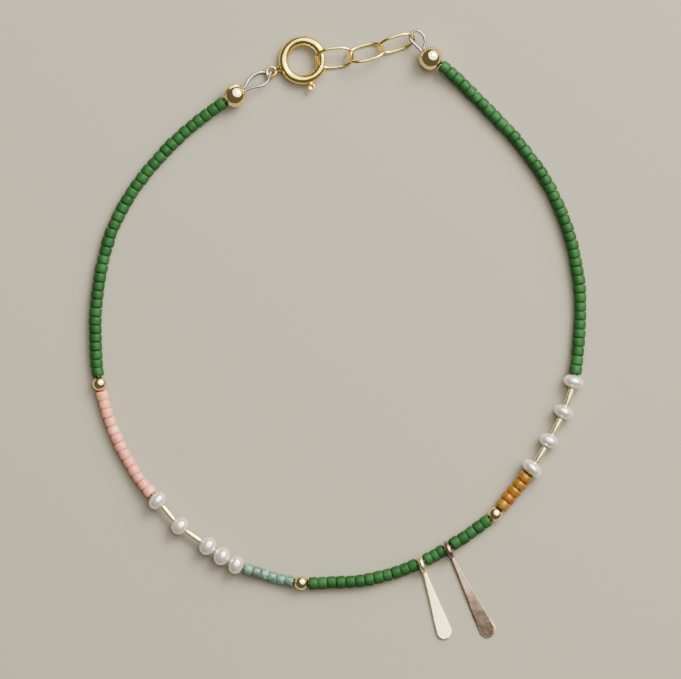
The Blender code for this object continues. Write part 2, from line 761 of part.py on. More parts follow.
    def build(self):
        for name in STRINGING:
            if name in RUNS:
                self.add_run(name)
            elif name in DROPS:
                self.add_drop(name, "rose" if name == "drop_long" else "gold")
            elif name in PEARLS:
                self.add_bead(name, "pearl", BEAD_HOLE, PEARLS[name]["lean"])
            elif name.startswith("gold_tube"):
                self.add_bead(name, "gold", GOLD_TUBE_HOLE)
            elif name.startswith("gold_bead"):
                self.add_bead(name, "gold", BEAD_HOLE)
            else:
                self.add_bead(name, "gold", CRIMP_HOLE)
        self.add_links()
        self.add_clasp()
        self.add_wire_loops()
        self.centre_on_surface()


clear_scene()
Bracelet().build()
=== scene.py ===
import bisect
import random
from math import asin, ceil, copysign, cos, degrees, exp, hypot, pi, radians, sin, sqrt, tan

import bmesh
import bpy
from mathutils import Matrix, Vector, noise


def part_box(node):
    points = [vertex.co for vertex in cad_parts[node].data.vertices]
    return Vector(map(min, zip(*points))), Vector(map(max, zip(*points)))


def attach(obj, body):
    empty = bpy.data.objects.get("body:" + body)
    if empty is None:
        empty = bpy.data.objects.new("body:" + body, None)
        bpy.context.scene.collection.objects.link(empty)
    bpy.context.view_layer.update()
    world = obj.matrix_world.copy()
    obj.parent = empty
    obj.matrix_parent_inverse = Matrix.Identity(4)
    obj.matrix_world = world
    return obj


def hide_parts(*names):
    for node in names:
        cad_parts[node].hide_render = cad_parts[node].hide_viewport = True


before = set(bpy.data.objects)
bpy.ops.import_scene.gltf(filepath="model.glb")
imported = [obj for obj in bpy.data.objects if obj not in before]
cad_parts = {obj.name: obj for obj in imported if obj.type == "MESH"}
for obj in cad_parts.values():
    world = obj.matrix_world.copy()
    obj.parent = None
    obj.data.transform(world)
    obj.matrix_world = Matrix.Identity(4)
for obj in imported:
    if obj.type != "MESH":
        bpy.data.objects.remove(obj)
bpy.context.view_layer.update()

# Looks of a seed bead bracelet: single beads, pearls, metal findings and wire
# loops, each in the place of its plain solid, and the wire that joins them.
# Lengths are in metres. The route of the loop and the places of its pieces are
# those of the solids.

MM = 0.001

# Sizes of the pieces
SEED_DIAMETER = 1.6 * MM
SEED_PITCH = 1.115 * MM
SEED_HOLE = 0.56 * MM
GOLD_BEAD_DIAMETER = 1.85 * MM
CRIMP_DIAMETER = 3.0 * MM
BEAD_HOLE = 0.5 * MM
CRIMP_HOLE = 0.96 * MM
PEARL_LENGTH = 2.1 * MM
PEARL_DIAMETER = 2.5 * MM
GOLD_TUBE_LENGTH = 2.15 * MM
GOLD_TUBE_DIAMETER = 0.75 * MM
GOLD_TUBE_HOLE = 0.45 * MM
STRING_GAP = 0.04 * MM
STRING_SLOPE = 0.16
CORE_DIAMETER = 0.26 * MM
WIRE_DIAMETER = 0.37 * MM
LEFT_LOOP_LENGTH = 3.9 * MM
RIGHT_LOOP_LENGTH = 2.45 * MM
LEFT_LOOP_WIDTH = 1.8 * MM
RIGHT_LOOP_WIDTH = 1.7 * MM
WIRE_CLEARANCE = 0.06 * MM
LINK_LENGTH = 4.9 * MM
LINK_WIDTH = 3.4 * MM
LINK_WIRE = 0.4 * MM
LINK_PLAY = 0.1 * MM
LINK_ROUNDNESS = 2.6
# Links of the chain from the right wire loop on, and their rolls in degrees
LINK_ROLLS = {"chain_link_3": -60.0, "chain_link_2": 46.0, "chain_link_1": -43.0}
RING_OUTER_DIAMETER = 6.1 * MM
RING_TUBE_DIAMETER = 1.2 * MM
RING_BORE_DIAMETER = 0.86 * MM
BOLT_DIAMETER = 0.74 * MM
MOUTH_LOW = -16.0
MOUTH_HIGH = 22.0
BOLT_SEAT = 4.0
BOLT_TAIL = -84.0
KNOB_ANGLE = -70.0
KNOB_WIDTH = 0.9 * MM
KNOB_THICKNESS = 0.5 * MM
KNOB_STEM_WIDTH = 0.46 * MM
KNOB_STEM_THICKNESS = 0.32 * MM
SLIDE_CLEARANCE = 0.07 * MM
EYE_ANGLE = 201.0
EYE_DIAMETER = 1.56 * MM
EYE_WIRE = 0.4 * MM
NECK_LENGTH = 0.38 * MM
NECK_DIAMETER = 0.84 * MM
BAIL_DIAMETER = 2.35 * MM
BAIL_WIRE = 0.68 * MM
BAIL_ROOM = 0.92 * MM
BAIL_PLAY = 0.06 * MM
PADDLE_THICKNESS = 0.4 * MM
NECK_WIDTH = 0.5 * MM
RIM_ROUNDING = 0.13 * MM
# Drops: length, width, lean in degrees, depth of the hammering, and slope of the
# upper face across the paddle at the neck and at the end, in degrees
DROPS = {
    "drop_short": (11.1 * MM, 1.95 * MM, -6.5, 0.003 * MM, -3.0, -3.0),
    "drop_long": (13.4 * MM, 2.1 * MM, -5.5, 0.02 * MM, -6.5, 6.5),
}
# Shares of the way to a paddle's round end, and of its widening there
PADDLE_SHAPE = ((0.0, 0.0), (0.2, 0.16), (0.4, 0.34), (0.6, 0.56), (0.8, 0.82), (1.0, 1.0))
# Runs of seed beads: how many, shares of the usual diameter and pitch, colour
RUNS = {
    "green_left": (36, 1.0, 1.0, "green"),
    "pink": (13, 0.95, 1.0, "pink"),
    "teal": (6, 0.88, 0.965, "teal"),
    "green_bottom": (12, 1.0, 1.04, "green"),
    "green_between": (3, 1.0, 0.84, "green"),
    "green_beside": (5, 1.0, 1.04, "green"),
    "amber": (5, 1.17, 0.985, "amber"),
    "green_right": (40, 1.0, 1.0, "green"),
}
# Pearls in order: shares of the usual length and diameter, and lean in degrees
PEARL_ROWS = (
    (0.93, 1.04, 8.0), (0.97, 0.96, -4.0), (1.01, 0.97, 0.0),
    (1.01, 0.95, 5.0), (0.95, 0.97, 3.0), (0.835, 1.19, -8.0),
    (0.88, 1.03, 6.0), (0.835, 1.08, -5.0), (0.835, 1.07, -6.0),
)
PEARLS = {f"pearl_{i}": row for i, row in enumerate(PEARL_ROWS, 1)}
STRINGING = (
    "crimp_cover_left", "green_left", "gold_bead_left", "pink",
    "pearl_1", "gold_tube_1", "pearl_2", "gold_tube_2",
    "pearl_3", "pearl_4", "pearl_5", "teal",
    "gold_bead_bottom", "green_bottom", "drop_short", "green_between",
    "drop_long", "green_beside", "gold_bead_right", "amber",
    "pearl_6", "gold_tube_3", "pearl_7", "gold_tube_4",
    "pearl_8", "gold_tube_5", "pearl_9", "green_right",
    "crimp_cover_right",
)
# Chosen points of the loop seen from above, in millimetres
ROUTE = (
    (-12.85, 30.05), (-15.3, 28.5), (-20.25, 24.45), (-24.45, 19.75),
    (-27.75, 14.4), (-29.6, 8.25), (-30.3, 2.0), (-30.05, -4.4),
    (-29.25, -8.25), (-28.34, -11.1), (-26.8, -14.45), (-25.13, -17.38),
    (-22.5, -20.55), (-19.75, -23.7), (-16.3, -26.2), (-12.85, -28.5),
    (-9.75, -29.65), (-4.6, -30.85), (0.0, -30.75), (3.4, -30.5),
    (6.75, -29.7), (10.4, -28.25), (13.75, -26.45), (18.4, -23.3),
    (19.6, -22.3), (21.9, -19.5), (24.2, -16.55), (26.35, -13.05),
    (28.1, -9.6), (29.4, -5.8), (30.05, -1.15), (30.25, 5.2),
    (29.25, 11.5), (27.0, 17.6), (23.45, 23.15), (19.0, 28.1),
    (13.9, 33.05), (11.55, 34.7), (9.7, 37.25), (7.45, 36.4),
    (3.6, 35.5), (-0.45, 34.4), (-4.5, 34.45), (-8.4, 32.85),
)
ROUTE_STEPS = 24

# Where the camera stands over the loop, and how wide it sees
VIEW_CENTRE = (0.343 * MM, -0.604 * MM)
VIEW_WIDTH = 85.125 * MM
VIEW_HEIGHT = 0.4
STRING_LEVEL = 0.9 * MM
SENSOR_WIDTH = 36.0

SMOOTH_ANGLE = radians(38.0)
UP = Vector((0.0, 0.0, 1.0))

# Route of the loop, as in the solids


def curve_between(before, start, end, after, share):
    """Point on a centripetal Catmull-Rom span, from start to end."""
    knots = [0.0]
    for first, second in ((before, start), (start, end), (end, after)):
        knots.append(knots[-1] + sqrt((second - first).length))
    place = knots[1] + (knots[2] - knots[1]) * share

    def blend(a, b, low, high):
        return a.lerp(b, (place - knots[low]) / (knots[high] - knots[low]))

    first = blend(before, start, 0, 1)
    second = blend(start, end, 1, 2)
    third = blend(end, after, 2, 3)
    return blend(blend(first, second, 0, 2), blend(second, third, 1, 3), 1, 2)


def smooth_line(points, steps, closed):
    """Dense smooth line through the chosen points."""
    if closed:
        points = [points[-1], *points, points[0], points[1]]
    else:
        points = [points[0] * 2 - points[1], *points, points[-1] * 2 - points[-2]]
    line = []
    for four in zip(points, points[1:], points[2:], points[3:]):
        line += [curve_between(*four, k / steps) for k in range(steps)]
    return line + [points[-2]]


class Route:
    """The loop's smooth line, measured along its length and scaled to fit."""

    def __init__(self, length):
        line = smooth_line([Vector((x * MM, y * MM, 0.0)) for x, y in ROUTE], ROUTE_STEPS, True)
        natural = sum((b - a).length for a, b in zip(line, line[1:]))
        scale = length / natural
        self.line = [point * scale for point in line]
        self.marks = [0.0]
        for a, b in zip(self.line, self.line[1:]):
            self.marks.append(self.marks[-1] + (b - a).length)

    def at(self, distance):
        distance = distance % self.marks[-1]
        high = min(bisect.bisect_right(self.marks, distance), len(self.marks) - 1)
        low = high - 1
        span = self.marks[high] - self.marks[low]
        return self.line[low].lerp(self.line[high], (distance - self.marks[low]) / span)


def bead_size(name):
    """Length along the string and diameter of a round bead or tube."""
    if name in PEARLS:
        length, diameter, _ = PEARLS[name]
        return PEARL_LENGTH * length, PEARL_DIAMETER * diameter
    if name.startswith("gold_bead"):
        return GOLD_BEAD_DIAMETER, GOLD_BEAD_DIAMETER
    if name.startswith("gold_tube"):
        return GOLD_TUBE_LENGTH, GOLD_TUBE_DIAMETER
    return CRIMP_DIAMETER, CRIMP_DIAMETER


def stretch(name):
    """Length of the route that a piece takes, without its clearance."""
    if name in RUNS:
        beads, _, pitch, _ = RUNS[name]
        return beads * SEED_PITCH * pitch
    if name in DROPS:
        return BAIL_ROOM
    return bead_size(name)[0]


def carried_radius(name):
    """Height of the string's centre where this piece rests on the surface."""
    if name in RUNS:
        _, diameter, _, _ = RUNS[name]
        return SEED_DIAMETER * diameter / 2
    if name in DROPS:
        return BAIL_DIAMETER / 2 - (BAIL_DIAMETER / 2 - BAIL_WIRE) / 2
    return bead_size(name)[1] / 2


LINK_SPAN = LINK_LENGTH - 2 * LINK_WIRE - LINK_PLAY
RING_RADIUS = (RING_OUTER_DIAMETER - RING_TUBE_DIAMETER) / 2
EYE_REACH = RING_OUTER_DIAMETER / 2 + NECK_LENGTH + EYE_DIAMETER / 2
BOLT_TIP = MOUTH_HIGH + BOLT_SEAT
TRIGGER_TRAVEL = BOLT_TIP - MOUTH_LOW


def lay_out():
    """Where each piece starts and ends along the loop, and the loop's length."""
    spans = {}
    cursor = -CRIMP_DIAMETER / 2
    for name in STRINGING:
        end = cursor + stretch(name)
        spans[name] = (cursor, end)
        cursor = end + STRING_GAP
    cursor += RIGHT_LOOP_LENGTH - STRING_GAP
    spans["right_junction"] = (cursor, cursor)
    centre = cursor - LINK_WIRE - WIRE_DIAMETER / 2 - WIRE_CLEARANCE + LINK_LENGTH / 2
    for name in LINK_ROLLS:
        spans[name] = (centre - LINK_LENGTH / 2, centre + LINK_LENGTH / 2)
        centre += LINK_SPAN
    mouth = spans["chain_link_1"][1] - LINK_WIRE - BOLT_DIAMETER / 2 - LINK_PLAY
    spans["mouth"] = (mouth, mouth)
    ring = mouth + RING_RADIUS
    spans["ring"] = (ring, ring)
    return spans, ring + EYE_REACH + LEFT_LOOP_LENGTH + CRIMP_DIAMETER / 2


SPANS, TOTAL = lay_out()
PATH = Route(TOTAL)
LIFTS = [(SPANS[name], carried_radius(name)) for name in STRINGING]


def height(distance):
    """Height of the string, which the larger beads hold up."""
    return max(
        radius - STRING_SLOPE * max(start - distance, distance - end, 0.0)
        for (start, end), radius in LIFTS
    )


def string_point(distance):
    point = PATH.at(distance)
    point.z = height(distance)
    return point


def middle_of(name):
    start, end = SPANS[name]
    return (start + end) / 2


def turned(angle, axis):
    """Turn about an axis, by an angle in degrees."""
    return Matrix.Rotation(radians(angle), 4, axis)


def aimed(centre, ahead):
    """Frame with X ahead and Y level."""
    across = UP.cross(ahead).normalized()
    turn = Matrix((ahead, across, ahead.cross(across))).transposed().to_4x4()
    return Matrix.Translation(centre) @ turn


def chord_frame(start, end, lean=0.0):
    """Frame halfway from start to end, with X along the way."""
    return aimed((start + end) / 2, (end - start).normalized()) @ turned(lean, "Z")


def bead_frame(name, lean=0.0):
    """Frame of a bead on the string, with X along the string."""
    diameter = bead_size(name)[1]
    start, end = (string_point(at) for at in SPANS[name])
    centre = string_point(middle_of(name))
    centre.z = max(centre.z, diameter / 2)
    start.z = end.z = centre.z
    placed = chord_frame(start, end, lean)
    placed.translation = centre
    return placed


def link_height(name):
    rise = sin(radians(abs(LINK_ROLLS[name]))) * (LINK_WIDTH - LINK_WIRE) / 2
    return rise + LINK_WIRE / 2


def ring_frame():
    """Frame of the spring ring: X to the mouth, Z square to its plane."""
    centre = PATH.at(middle_of("ring"))
    mouth = PATH.at(middle_of("mouth"))
    mouth_height = link_height("chain_link_1")
    eye_height = WIRE_DIAMETER + WIRE_CLEARANCE + EYE_WIRE / 2
    eye_along = EYE_REACH * cos(radians(EYE_ANGLE))
    slope = (mouth_height - eye_height) / (RING_RADIUS - eye_along)
    ahead = (mouth - centre).normalized()
    centre.z = mouth_height - slope * RING_RADIUS
    ahead.z = slope
    ahead.normalize()
    return aimed(centre, ahead)


# The solids stand centred on their footprint, the route doesn't
ANCHOR = "gold_bead_bottom"
low_corner, high_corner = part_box(ANCHOR)
OFFSET = (low_corner + high_corner) / 2 - bead_frame(ANCHOR).translation

# Meshes

PLAIN_TONE = 0.5


class Shell:
    """Points, faces and tones of one piece, gathered form by form."""

    def __init__(self):
        self.points = []
        self.faces = []
        self.tones = []

    def grid(self, rows, closed_rows, skip=None, tone=PLAIN_TONE):
        """Quads between rings of points, without those of skip. Gives the first point."""
        first = len(self.points)
        wide = len(rows[0])
        for row in rows:
            self.points.extend(row)
        self.tones.extend([tone] * (wide * len(rows)))
        for i in range(len(rows) if closed_rows else len(rows) - 1):
            j = (i + 1) % len(rows)
            for k in range(wide):
                if skip and skip(i, k):
                    continue
                n = (k + 1) % wide
                a, b = first + i * wide, first + j * wide
                self.faces.append((a + k, a + n, b + n, b + k))
        return first

    def fan(self, first, wide, centre, tone):
        """Triangles from a ring of points to one point."""
        self.points.append(centre)
        self.tones.append(tone)
        tip = len(self.points) - 1
        for k in range(wide):
            self.faces.append((first + k, first + (k + 1) % wide, tip))

    def tube(self, rows, tone=PLAIN_TONE):
        """Rings of points, closed at both ends round the rings' middles."""
        wide = len(rows[0])
        first = self.grid(rows, False, tone=tone)
        for row, at in ((rows[0], 0), (rows[-1], len(rows) - 1)):
            centre = sum(row, Vector()) / wide
            self.fan(first + at * wide, wide, centre, tone)
        return first

    def place(self, matrix, start=0):
        for i in range(start, len(self.points)):
            self.points[i] = matrix @ self.points[i]


def add_object(name, data):
    made = bpy.data.objects.new(name, data)
    bpy.context.scene.collection.objects.link(made)
    return made


def make_piece(name, shell, paint, slot, *nodes, body="strand"):
    """Object of the shell, in the place of its CAD nodes."""
    build = bmesh.new()
    corners = [build.verts.new(point + OFFSET) for point in shell.points]
    for face in shell.faces:
        build.faces.new([corners[i] for i in face])
    bmesh.ops.recalc_face_normals(build, faces=build.faces)
    mesh = bpy.data.meshes.new(name)
    build.to_mesh(mesh)
    build.free()
    mesh.attributes.new("tone", "FLOAT", "POINT").data.foreach_set("value", shell.tones)
    mesh.shade_smooth()
    mesh.set_sharp_from_angle(angle=SMOOTH_ANGLE)
    mesh.materials.append(PAINTS[paint].material)
    piece = add_object(name, mesh)
    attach(piece, body)
    if nodes:
        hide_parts(*nodes)


def circle(radius, sides):
    step = 2 * pi / sides
    return [(radius * cos(k * step), radius * sin(k * step)) for k in range(sides)]


def power(value, exponent):
    return copysign(abs(value) ** exponent, value)


def oblong(half_length, half_width, roundness, sides):
    """Points of an oval with fuller corners, none of them on its axes."""
    exponent = 2 / roundness
    turns = [2 * pi * (i + 0.5) / sides for i in range(sides)]
    return [
        (power(cos(turn), exponent) * half_length, power(sin(turn), exponent) * half_width)
        for turn in turns
    ]


def lathe_rows(profile, sides):
    """Rings about X for each point (along, radius) of a profile."""
    return [[Vector((along, y, z)) for y, z in circle(radius, sides)] for along, radius in profile]


def arc_rows(radius, angles, section_radii, sides):
    """Rings swept about Z, one for each angle in degrees."""
    rows = []
    for angle, section in zip(angles, section_radii):
        turn = radians(angle)
        rows.append([
            Vector(((radius + out) * cos(turn), (radius + out) * sin(turn), up))
            for out, up in circle(section, sides)
        ])
    return rows


def spread(start, end, step):
    """Evenly spaced values from start to end, both included."""
    count = max(1, ceil(abs(end - start) / step))
    return [start + (end - start) * i / count for i in range(count + 1)]


def sweep_rows(path, section):
    """Rings of a section along a path, turned as little as possible."""
    rows = []
    across = None
    travelled = 0.0
    for i, point in enumerate(path):
        ahead = (path[min(i + 1, len(path) - 1)] - path[max(i - 1, 0)]).normalized()
        if across is None:
            across = ahead.orthogonal().normalized()
        else:
            travelled += (point - path[i - 1]).length
            across = (across - ahead * across.dot(ahead)).normalized()
        up = ahead.cross(across)
        rows.append([point + across * x + up * y for x, y in section(travelled)])
    return rows


# Materials

# The usual reach of a noise
NOISE_LOW = 0.3
NOISE_HIGH = 0.7
# Noises of metal: cells in a millimetre, detail and roughness
METAL_CLOUD = (0.9, 4.0, 0.55)
METAL_POLISH = (3.5, 5.0, 0.65)
# Noises and depths of the grain and of the dents in metal
METAL_BUMPS = (((14.0, 2.0, 0.55), 0.004 * MM), ((1.6, 1.0, 0.55), 0.02 * MM))
# Metals: the two colours of their clouds, their smoothest and roughest polish,
# the strength of their bumps, and the colour of a painted highlight on an edge
METALS = {
    "gold": ((0.82, 0.63, 0.22), (0.93, 0.76, 0.34), (0.07, 0.17), 0.18),
    "rich_gold": ((0.84, 0.6, 0.13), (0.95, 0.74, 0.22), (0.13, 0.21), 0.18),
    # Paler copy of gold: its lighter colour paints in the bright highlight on the tubes and the short drop
    "pale_gold_painted_highlight": ((0.93, 0.79, 0.39), (0.98, 0.87, 0.5), (0.24, 0.34), 0.18),
    # Rose gold made dark: its dark colours paint in a dark reflection on the long drop, and its last colour
    # is a painted highlight on the rim of the round end
    "rose_gold": (
        (0.245, 0.17, 0.116), (0.365, 0.264, 0.186), (0.24, 0.34), 0.3, (0.76, 0.55, 0.4),
    ),
    "beading_wire": ((0.24, 0.2, 0.25), (0.34, 0.295, 0.355), (0.24, 0.36), 0.2),
    "wire_core": ((0.25, 0.23, 0.24), (0.36, 0.33, 0.34), (0.5, 0.65), 0.2),
}

# Surfaces of beads: the reach of their clouds, then noise and bump of the skin,
# and noise and bump of the dents. A bump is a strength and a depth.
GLASS_CLOUD = (1.3, 4.0, 0.6)
GLASS = ((0.25, 0.75), (9.0, 4.0, 0.7), (0.25, 0.01 * MM), (2.2, 2.0, 0.55), (0.3, 0.04 * MM))
NACRE = ((0.3, 0.7), (5.0, 4.0, 0.6), (0.06, 0.004 * MM), (1.1, 2.0, 0.55), (0.35, 0.05 * MM))
# Bead paints: colours from the darkest tone to the lightest, light inside as a
# weight, a depth and its reach by colour, other values of the shader, strength
# of the clouds and their noise, and the polish
INSIDE = ("Subsurface Weight", "Subsurface Scale", "Subsurface Radius")
TONE_PLACES = (0.0, 0.35, 0.7, 1.0)
BEAD_PAINTS = {
    "green_glass": {
        "colours": (
            (0.006, 0.028, 0.005), (0.009, 0.042, 0.007), (0.013, 0.056, 0.011), (0.022, 0.08, 0.02),
        ),
        "inside": (0.15, 0.35 * MM, (0.4, 1.0, 0.4)),
        "values": {"Specular IOR Level": 0.3, "Specular Tint": (0.5, 1.0, 0.6, 1.0)},
        "clouding": 0.22, "polish": (0.48, 0.64),
    },
    "pink_glass": {
        "colours": ((0.57, 0.222, 0.168), (0.645, 0.247, 0.15), (0.712, 0.286, 0.15), (0.78, 0.395, 0.24)),
        "inside": (0.85, 0.75 * MM, (1.0, 0.75, 0.65)),
        "values": {"Coat Weight": 0.12, "Coat Roughness": 0.3},
        "clouding": 0.25, "polish": (0.34, 0.5),
    },
    "teal_glass": {
        "colours": ((0.082, 0.058, 0.034), (0.06, 0.104, 0.094), (0.064, 0.15, 0.098), (0.14, 0.3, 0.2)),
        "places": (0.0, 0.42, 0.66, 1.0),
        "inside": (0.25, 0.4 * MM, (0.6, 1.0, 0.9)),
        "values": {
            "Specular Tint": (0.7, 1.0, 0.86, 1.0), "Coat Weight": 0.11, "Coat Roughness": 0.16,
        },
        "cloud": (2.8, 4.0, 0.6), "clouding": 0.58, "polish": (0.24, 0.4),
    },
    "amber_glass": {
        "colours": (
            (0.35, 0.082, 0.01), (0.32, 0.124, 0.013), (0.305, 0.154, 0.016), (0.38, 0.212, 0.028),
        ),
        "inside": (0.35, 0.5 * MM, (1.0, 0.7, 0.2)),
        "values": {
            "Transmission Weight": 0.42, "IOR": 1.52, "Specular IOR Level": 1.0,
            "Specular Tint": (1.0, 0.6, 0.22, 1.0), "Coat Weight": 0.14, "Coat Roughness": 0.06,
        },
        "clouding": 0.16, "polish": (0.15, 0.24),
    },
    "pearl": {
        "colours": ((0.73, 0.645, 0.56), (0.81, 0.725, 0.615), (0.87, 0.785, 0.64), (0.9, 0.795, 0.6)),
        "inside": (0.25, 0.5 * MM, (1.0, 0.85, 0.7)),
        "values": {
            "Metallic": 0.6, "Coat Weight": 1.0, "Coat Roughness": 0.08, "Coat IOR": 2.4,
            "Specular IOR Level": 0.8,
        },
        "cloud": (0.55, 3.0, 0.55), "clouding": 0.35, "polish": (0.13, 0.2), "surface": NACRE,
    },
}


class Paint:
    """One procedural material, built node by node."""

    def __init__(self, name, values):
        self.material = bpy.data.materials.new(name)
        self.material.use_nodes = True
        self.tree = self.material.node_tree
        self.shader = self.tree.nodes["Principled BSDF"]
        for socket, value in values.items():
            self.feed(self.shader.inputs[socket], value)
        self.place = self.node("TexCoord", {}).outputs["Object"]

    def feed(self, socket, value):
        if isinstance(value, bpy.types.NodeSocket):
            self.tree.links.new(value, socket)
        else:
            socket.default_value = value

    def node(self, kind, inputs, **settings):
        made = self.tree.nodes.new("ShaderNode" + kind)
        for key, value in settings.items():
            setattr(made, key, value)
        for socket, value in inputs.items():
            self.feed(made.inputs[socket], value)
        return made

    def noise(self, cells, detail, roughness):
        """Smooth noise with so many cells in a millimetre."""
        inputs = {"Vector": self.place, "Scale": cells / MM, "Detail": detail, "Roughness": roughness}
        return self.node("TexNoise", inputs).outputs["Fac"]

    def tone(self):
        """Tone that the mesh carries, form by form."""
        return self.node("Attribute", {}, attribute_name="tone").outputs["Fac"]

    def maths(self, operation, a, b):
        return self.node("Math", {0: a, 1: b}, operation=operation).outputs["Value"]

    def span(self, value, low, high, new_low, new_high):
        inputs = {"Value": value, "From Min": low, "From Max": high, "To Min": new_low, "To Max": new_high}
        return self.node("MapRange", inputs).outputs["Result"]

    def ramp(self, value, stops):
        made = self.node("ValToRGB", {"Fac": value})
        elements = made.color_ramp.elements
        for _ in stops[len(elements):]:
            elements.new(0.5)
        for element, (position, colour) in zip(elements, stops):
            element.position = position
            element.color = (*colour, 1.0)
        return made.outputs["Color"]

    def mix(self, share, first, second):
        """Mix of two colours, through the colour sockets of the node."""
        made = self.node("Mix", {}, data_type="RGBA")
        for at, value in ((0, share), (6, first), (7, second)):
            self.feed(made.inputs[at], value)
        return made.outputs[2]

    def set(self, socket, value):
        self.feed(self.shader.inputs[socket], value)

    def bump(self, levels):
        """Chained bumps, each a height, a strength and a depth in metres."""
        normal = None
        for value, strength, depth in levels:
            inputs = {"Height": value, "Strength": strength, "Distance": depth}
            if normal:
                inputs["Normal"] = normal
            normal = self.node("Bump", inputs).outputs["Normal"]
        self.set("Normal", normal)


def metal_paint(name, dark, light, polish, grain, painted_rim_highlight=None):
    """Metal with cloudy colour, uneven polish and a fine surface.

    The painted highlight colour shows where the tone is above the plain one.
    """
    paint = Paint(name, {"Metallic": 1.0})
    colour = paint.ramp(paint.noise(*METAL_CLOUD), ((NOISE_LOW, dark), (NOISE_HIGH, light)))
    # Painted highlight: a lighter colour where the tone rises above the plain one
    if painted_rim_highlight:
        share = paint.span(paint.tone(), PLAIN_TONE, 1.0, 0.0, 1.0)
        colour = paint.mix(share, colour, (*painted_rim_highlight, 1.0))
    paint.set("Base Color", colour)
    paint.set("Roughness", paint.span(paint.noise(*METAL_POLISH), NOISE_LOW, NOISE_HIGH, *polish))
    paint.bump([(paint.noise(*cells), grain, depth) for cells, depth in METAL_BUMPS])
    return paint


def bead_paint(
    name, colours, inside, values, clouding, polish,
    places=TONE_PLACES, cloud=GLASS_CLOUD, surface=GLASS,
):
    """Glass or nacre with a tone for each bead, clouds and an uneven skin."""
    reach, skin, skin_bump, dents, dent_bump = surface
    paint = Paint(name, {**dict(zip(INSIDE, inside)), **values})
    shade = paint.span(paint.noise(*cloud), *reach, -clouding, clouding)
    stops = tuple(zip(places, colours))
    paint.set("Base Color", paint.ramp(paint.maths("ADD", paint.tone(), shade), stops))
    fine = paint.noise(*skin)
    paint.set("Roughness", paint.span(fine, NOISE_LOW, NOISE_HIGH, *polish))
    paint.bump(((fine, *skin_bump), (paint.noise(*dents), *dent_bump)))
    return paint


PAINTS = {name: metal_paint(name, *row) for name, row in METALS.items()}
PAINTS.update((name, bead_paint(name, **row)) for name, row in BEAD_PAINTS.items())

# Seed beads

SEED_RINGS = 18
SEED_SIDES = 30
SEED_ROUNDNESS = {"green": 3.2, "pink": 3.0, "teal": 2.8, "amber": 2.9}
# Tones of the beads in the short runs, in the order of the string
SET_TONES = {
    "amber": (0.62, 0.18, 0.6, 0.55, 0.48),
    "teal": (0.62, 0.3, 0.64, 0.54, 0.6, 0.54),
    "pink": (0.66, 0.52, 0.38, 0.46, 0.78, 0.3, 0.45, 0.25, 0.22, 0.32, 0.05, 0.2, 0.74),
}
# How far the other beads' tones and all beads' lengths and diameters range
SEED_TONES = (0.25, 0.75)
SEED_LENGTHS = (-0.07, 0.07)
SEED_DIAMETERS = (-0.045, 0.03)
# Play of a bead across the string, and its turns in degrees about the upright
# and about the way across
SEED_PLAY = 0.035 * MM
SEED_TURN = 4.5
SEED_TILT = 2.0
SEED_LUMP = 0.016
SEED_LUMP_CELLS = 1.3
SEED_LUMP_RANGE = 50.0


def seed_profile(length, diameter, roundness):
    """Closed section of a bead's wall, as (along, radius) points."""
    wall = (diameter - SEED_HOLE) / 4
    centre = (diameter + SEED_HOLE) / 4
    return [(along, centre + out) for along, out in oblong(length / 2, wall, roundness, SEED_RINGS)]


def add_run(name):
    beads, size, _, colour = RUNS[name]
    chance = random.Random(name)
    shares = [1.0 + chance.uniform(*SEED_LENGTHS) for _ in range(beads)]
    start, end = SPANS[name]
    unit = (end - start) / sum(shares)
    shell = Shell()
    cursor = start
    for i, share in enumerate(shares):
        length = share * unit
        at = cursor + length / 2
        cursor += length
        diameter = SEED_DIAMETER * size * (1.0 + chance.uniform(*SEED_DIAMETERS))
        placed = chord_frame(string_point(at - length / 2), string_point(at + length / 2))
        centre = string_point(at)
        centre.z = max(centre.z, diameter / 2)
        placed.translation = centre
        placed @= Matrix.Translation((0.0, chance.uniform(-SEED_PLAY, SEED_PLAY), 0.0))
        placed @= turned(chance.uniform(-SEED_TURN, SEED_TURN), "Z")
        placed @= turned(chance.uniform(-SEED_TILT, SEED_TILT), "Y")
        tone = chance.uniform(*SEED_TONES)
        if name in SET_TONES:
            tone = SET_TONES[name][i]
        rows = lathe_rows(seed_profile(length, diameter, SEED_ROUNDNESS[colour]), SEED_SIDES)
        shift = Vector((at / MM, chance.uniform(0.0, SEED_LUMP_RANGE), 0.0))
        for ring in rows:
            for k, point in enumerate(ring):
                lump = SEED_LUMP * noise.noise(point / MM * SEED_LUMP_CELLS + shift)
                ring[k] = Vector((point.x, point.y * (1.0 + lump), point.z * (1.0 + lump)))
        begin = shell.grid(rows, True, tone=tone)
        shell.place(placed, begin)
    glass = colour + "_glass"
    make_piece(name + "_beads", shell, glass, glass, name)


# Pearls, metal beads and tubes

PEARL_RINGS = 44
PEARL_SIDES = 64
# Unevenness of a pearl: share of its size, and cells in a millimetre
PEARL_LUMPS = ((0.05, 0.55), (0.012, 1.7))
PEARL_LUMP_RANGE = 90.0
PEARL_RIPPLE = 0.004
PEARL_RIPPLE_RATE = 5.5
PEARL_RIPPLE_PHASE = 6.0
PEARL_SHRINKAGE = 0.018
PEARL_TONES = (0.3, 0.7)
METAL_RINGS = 36
METAL_SIDES = 56
HOLE_ROUNDING = 0.05 * MM
# Rim of a drilled hole, inwards and outwards in shares of the rounding
HOLE_RIM = ((0.0, 0.45), (0.5, 0.1), (1.4, 0.0))
TUBE_ROUNDING = 0.05 * MM
TUBE_HOLE_ROUNDING = TUBE_ROUNDING * 0.4
# Turns round the corner of a tube's end, in radians
TUBE_CORNER = (0.0, 0.4, 0.8, 1.2, pi / 2)


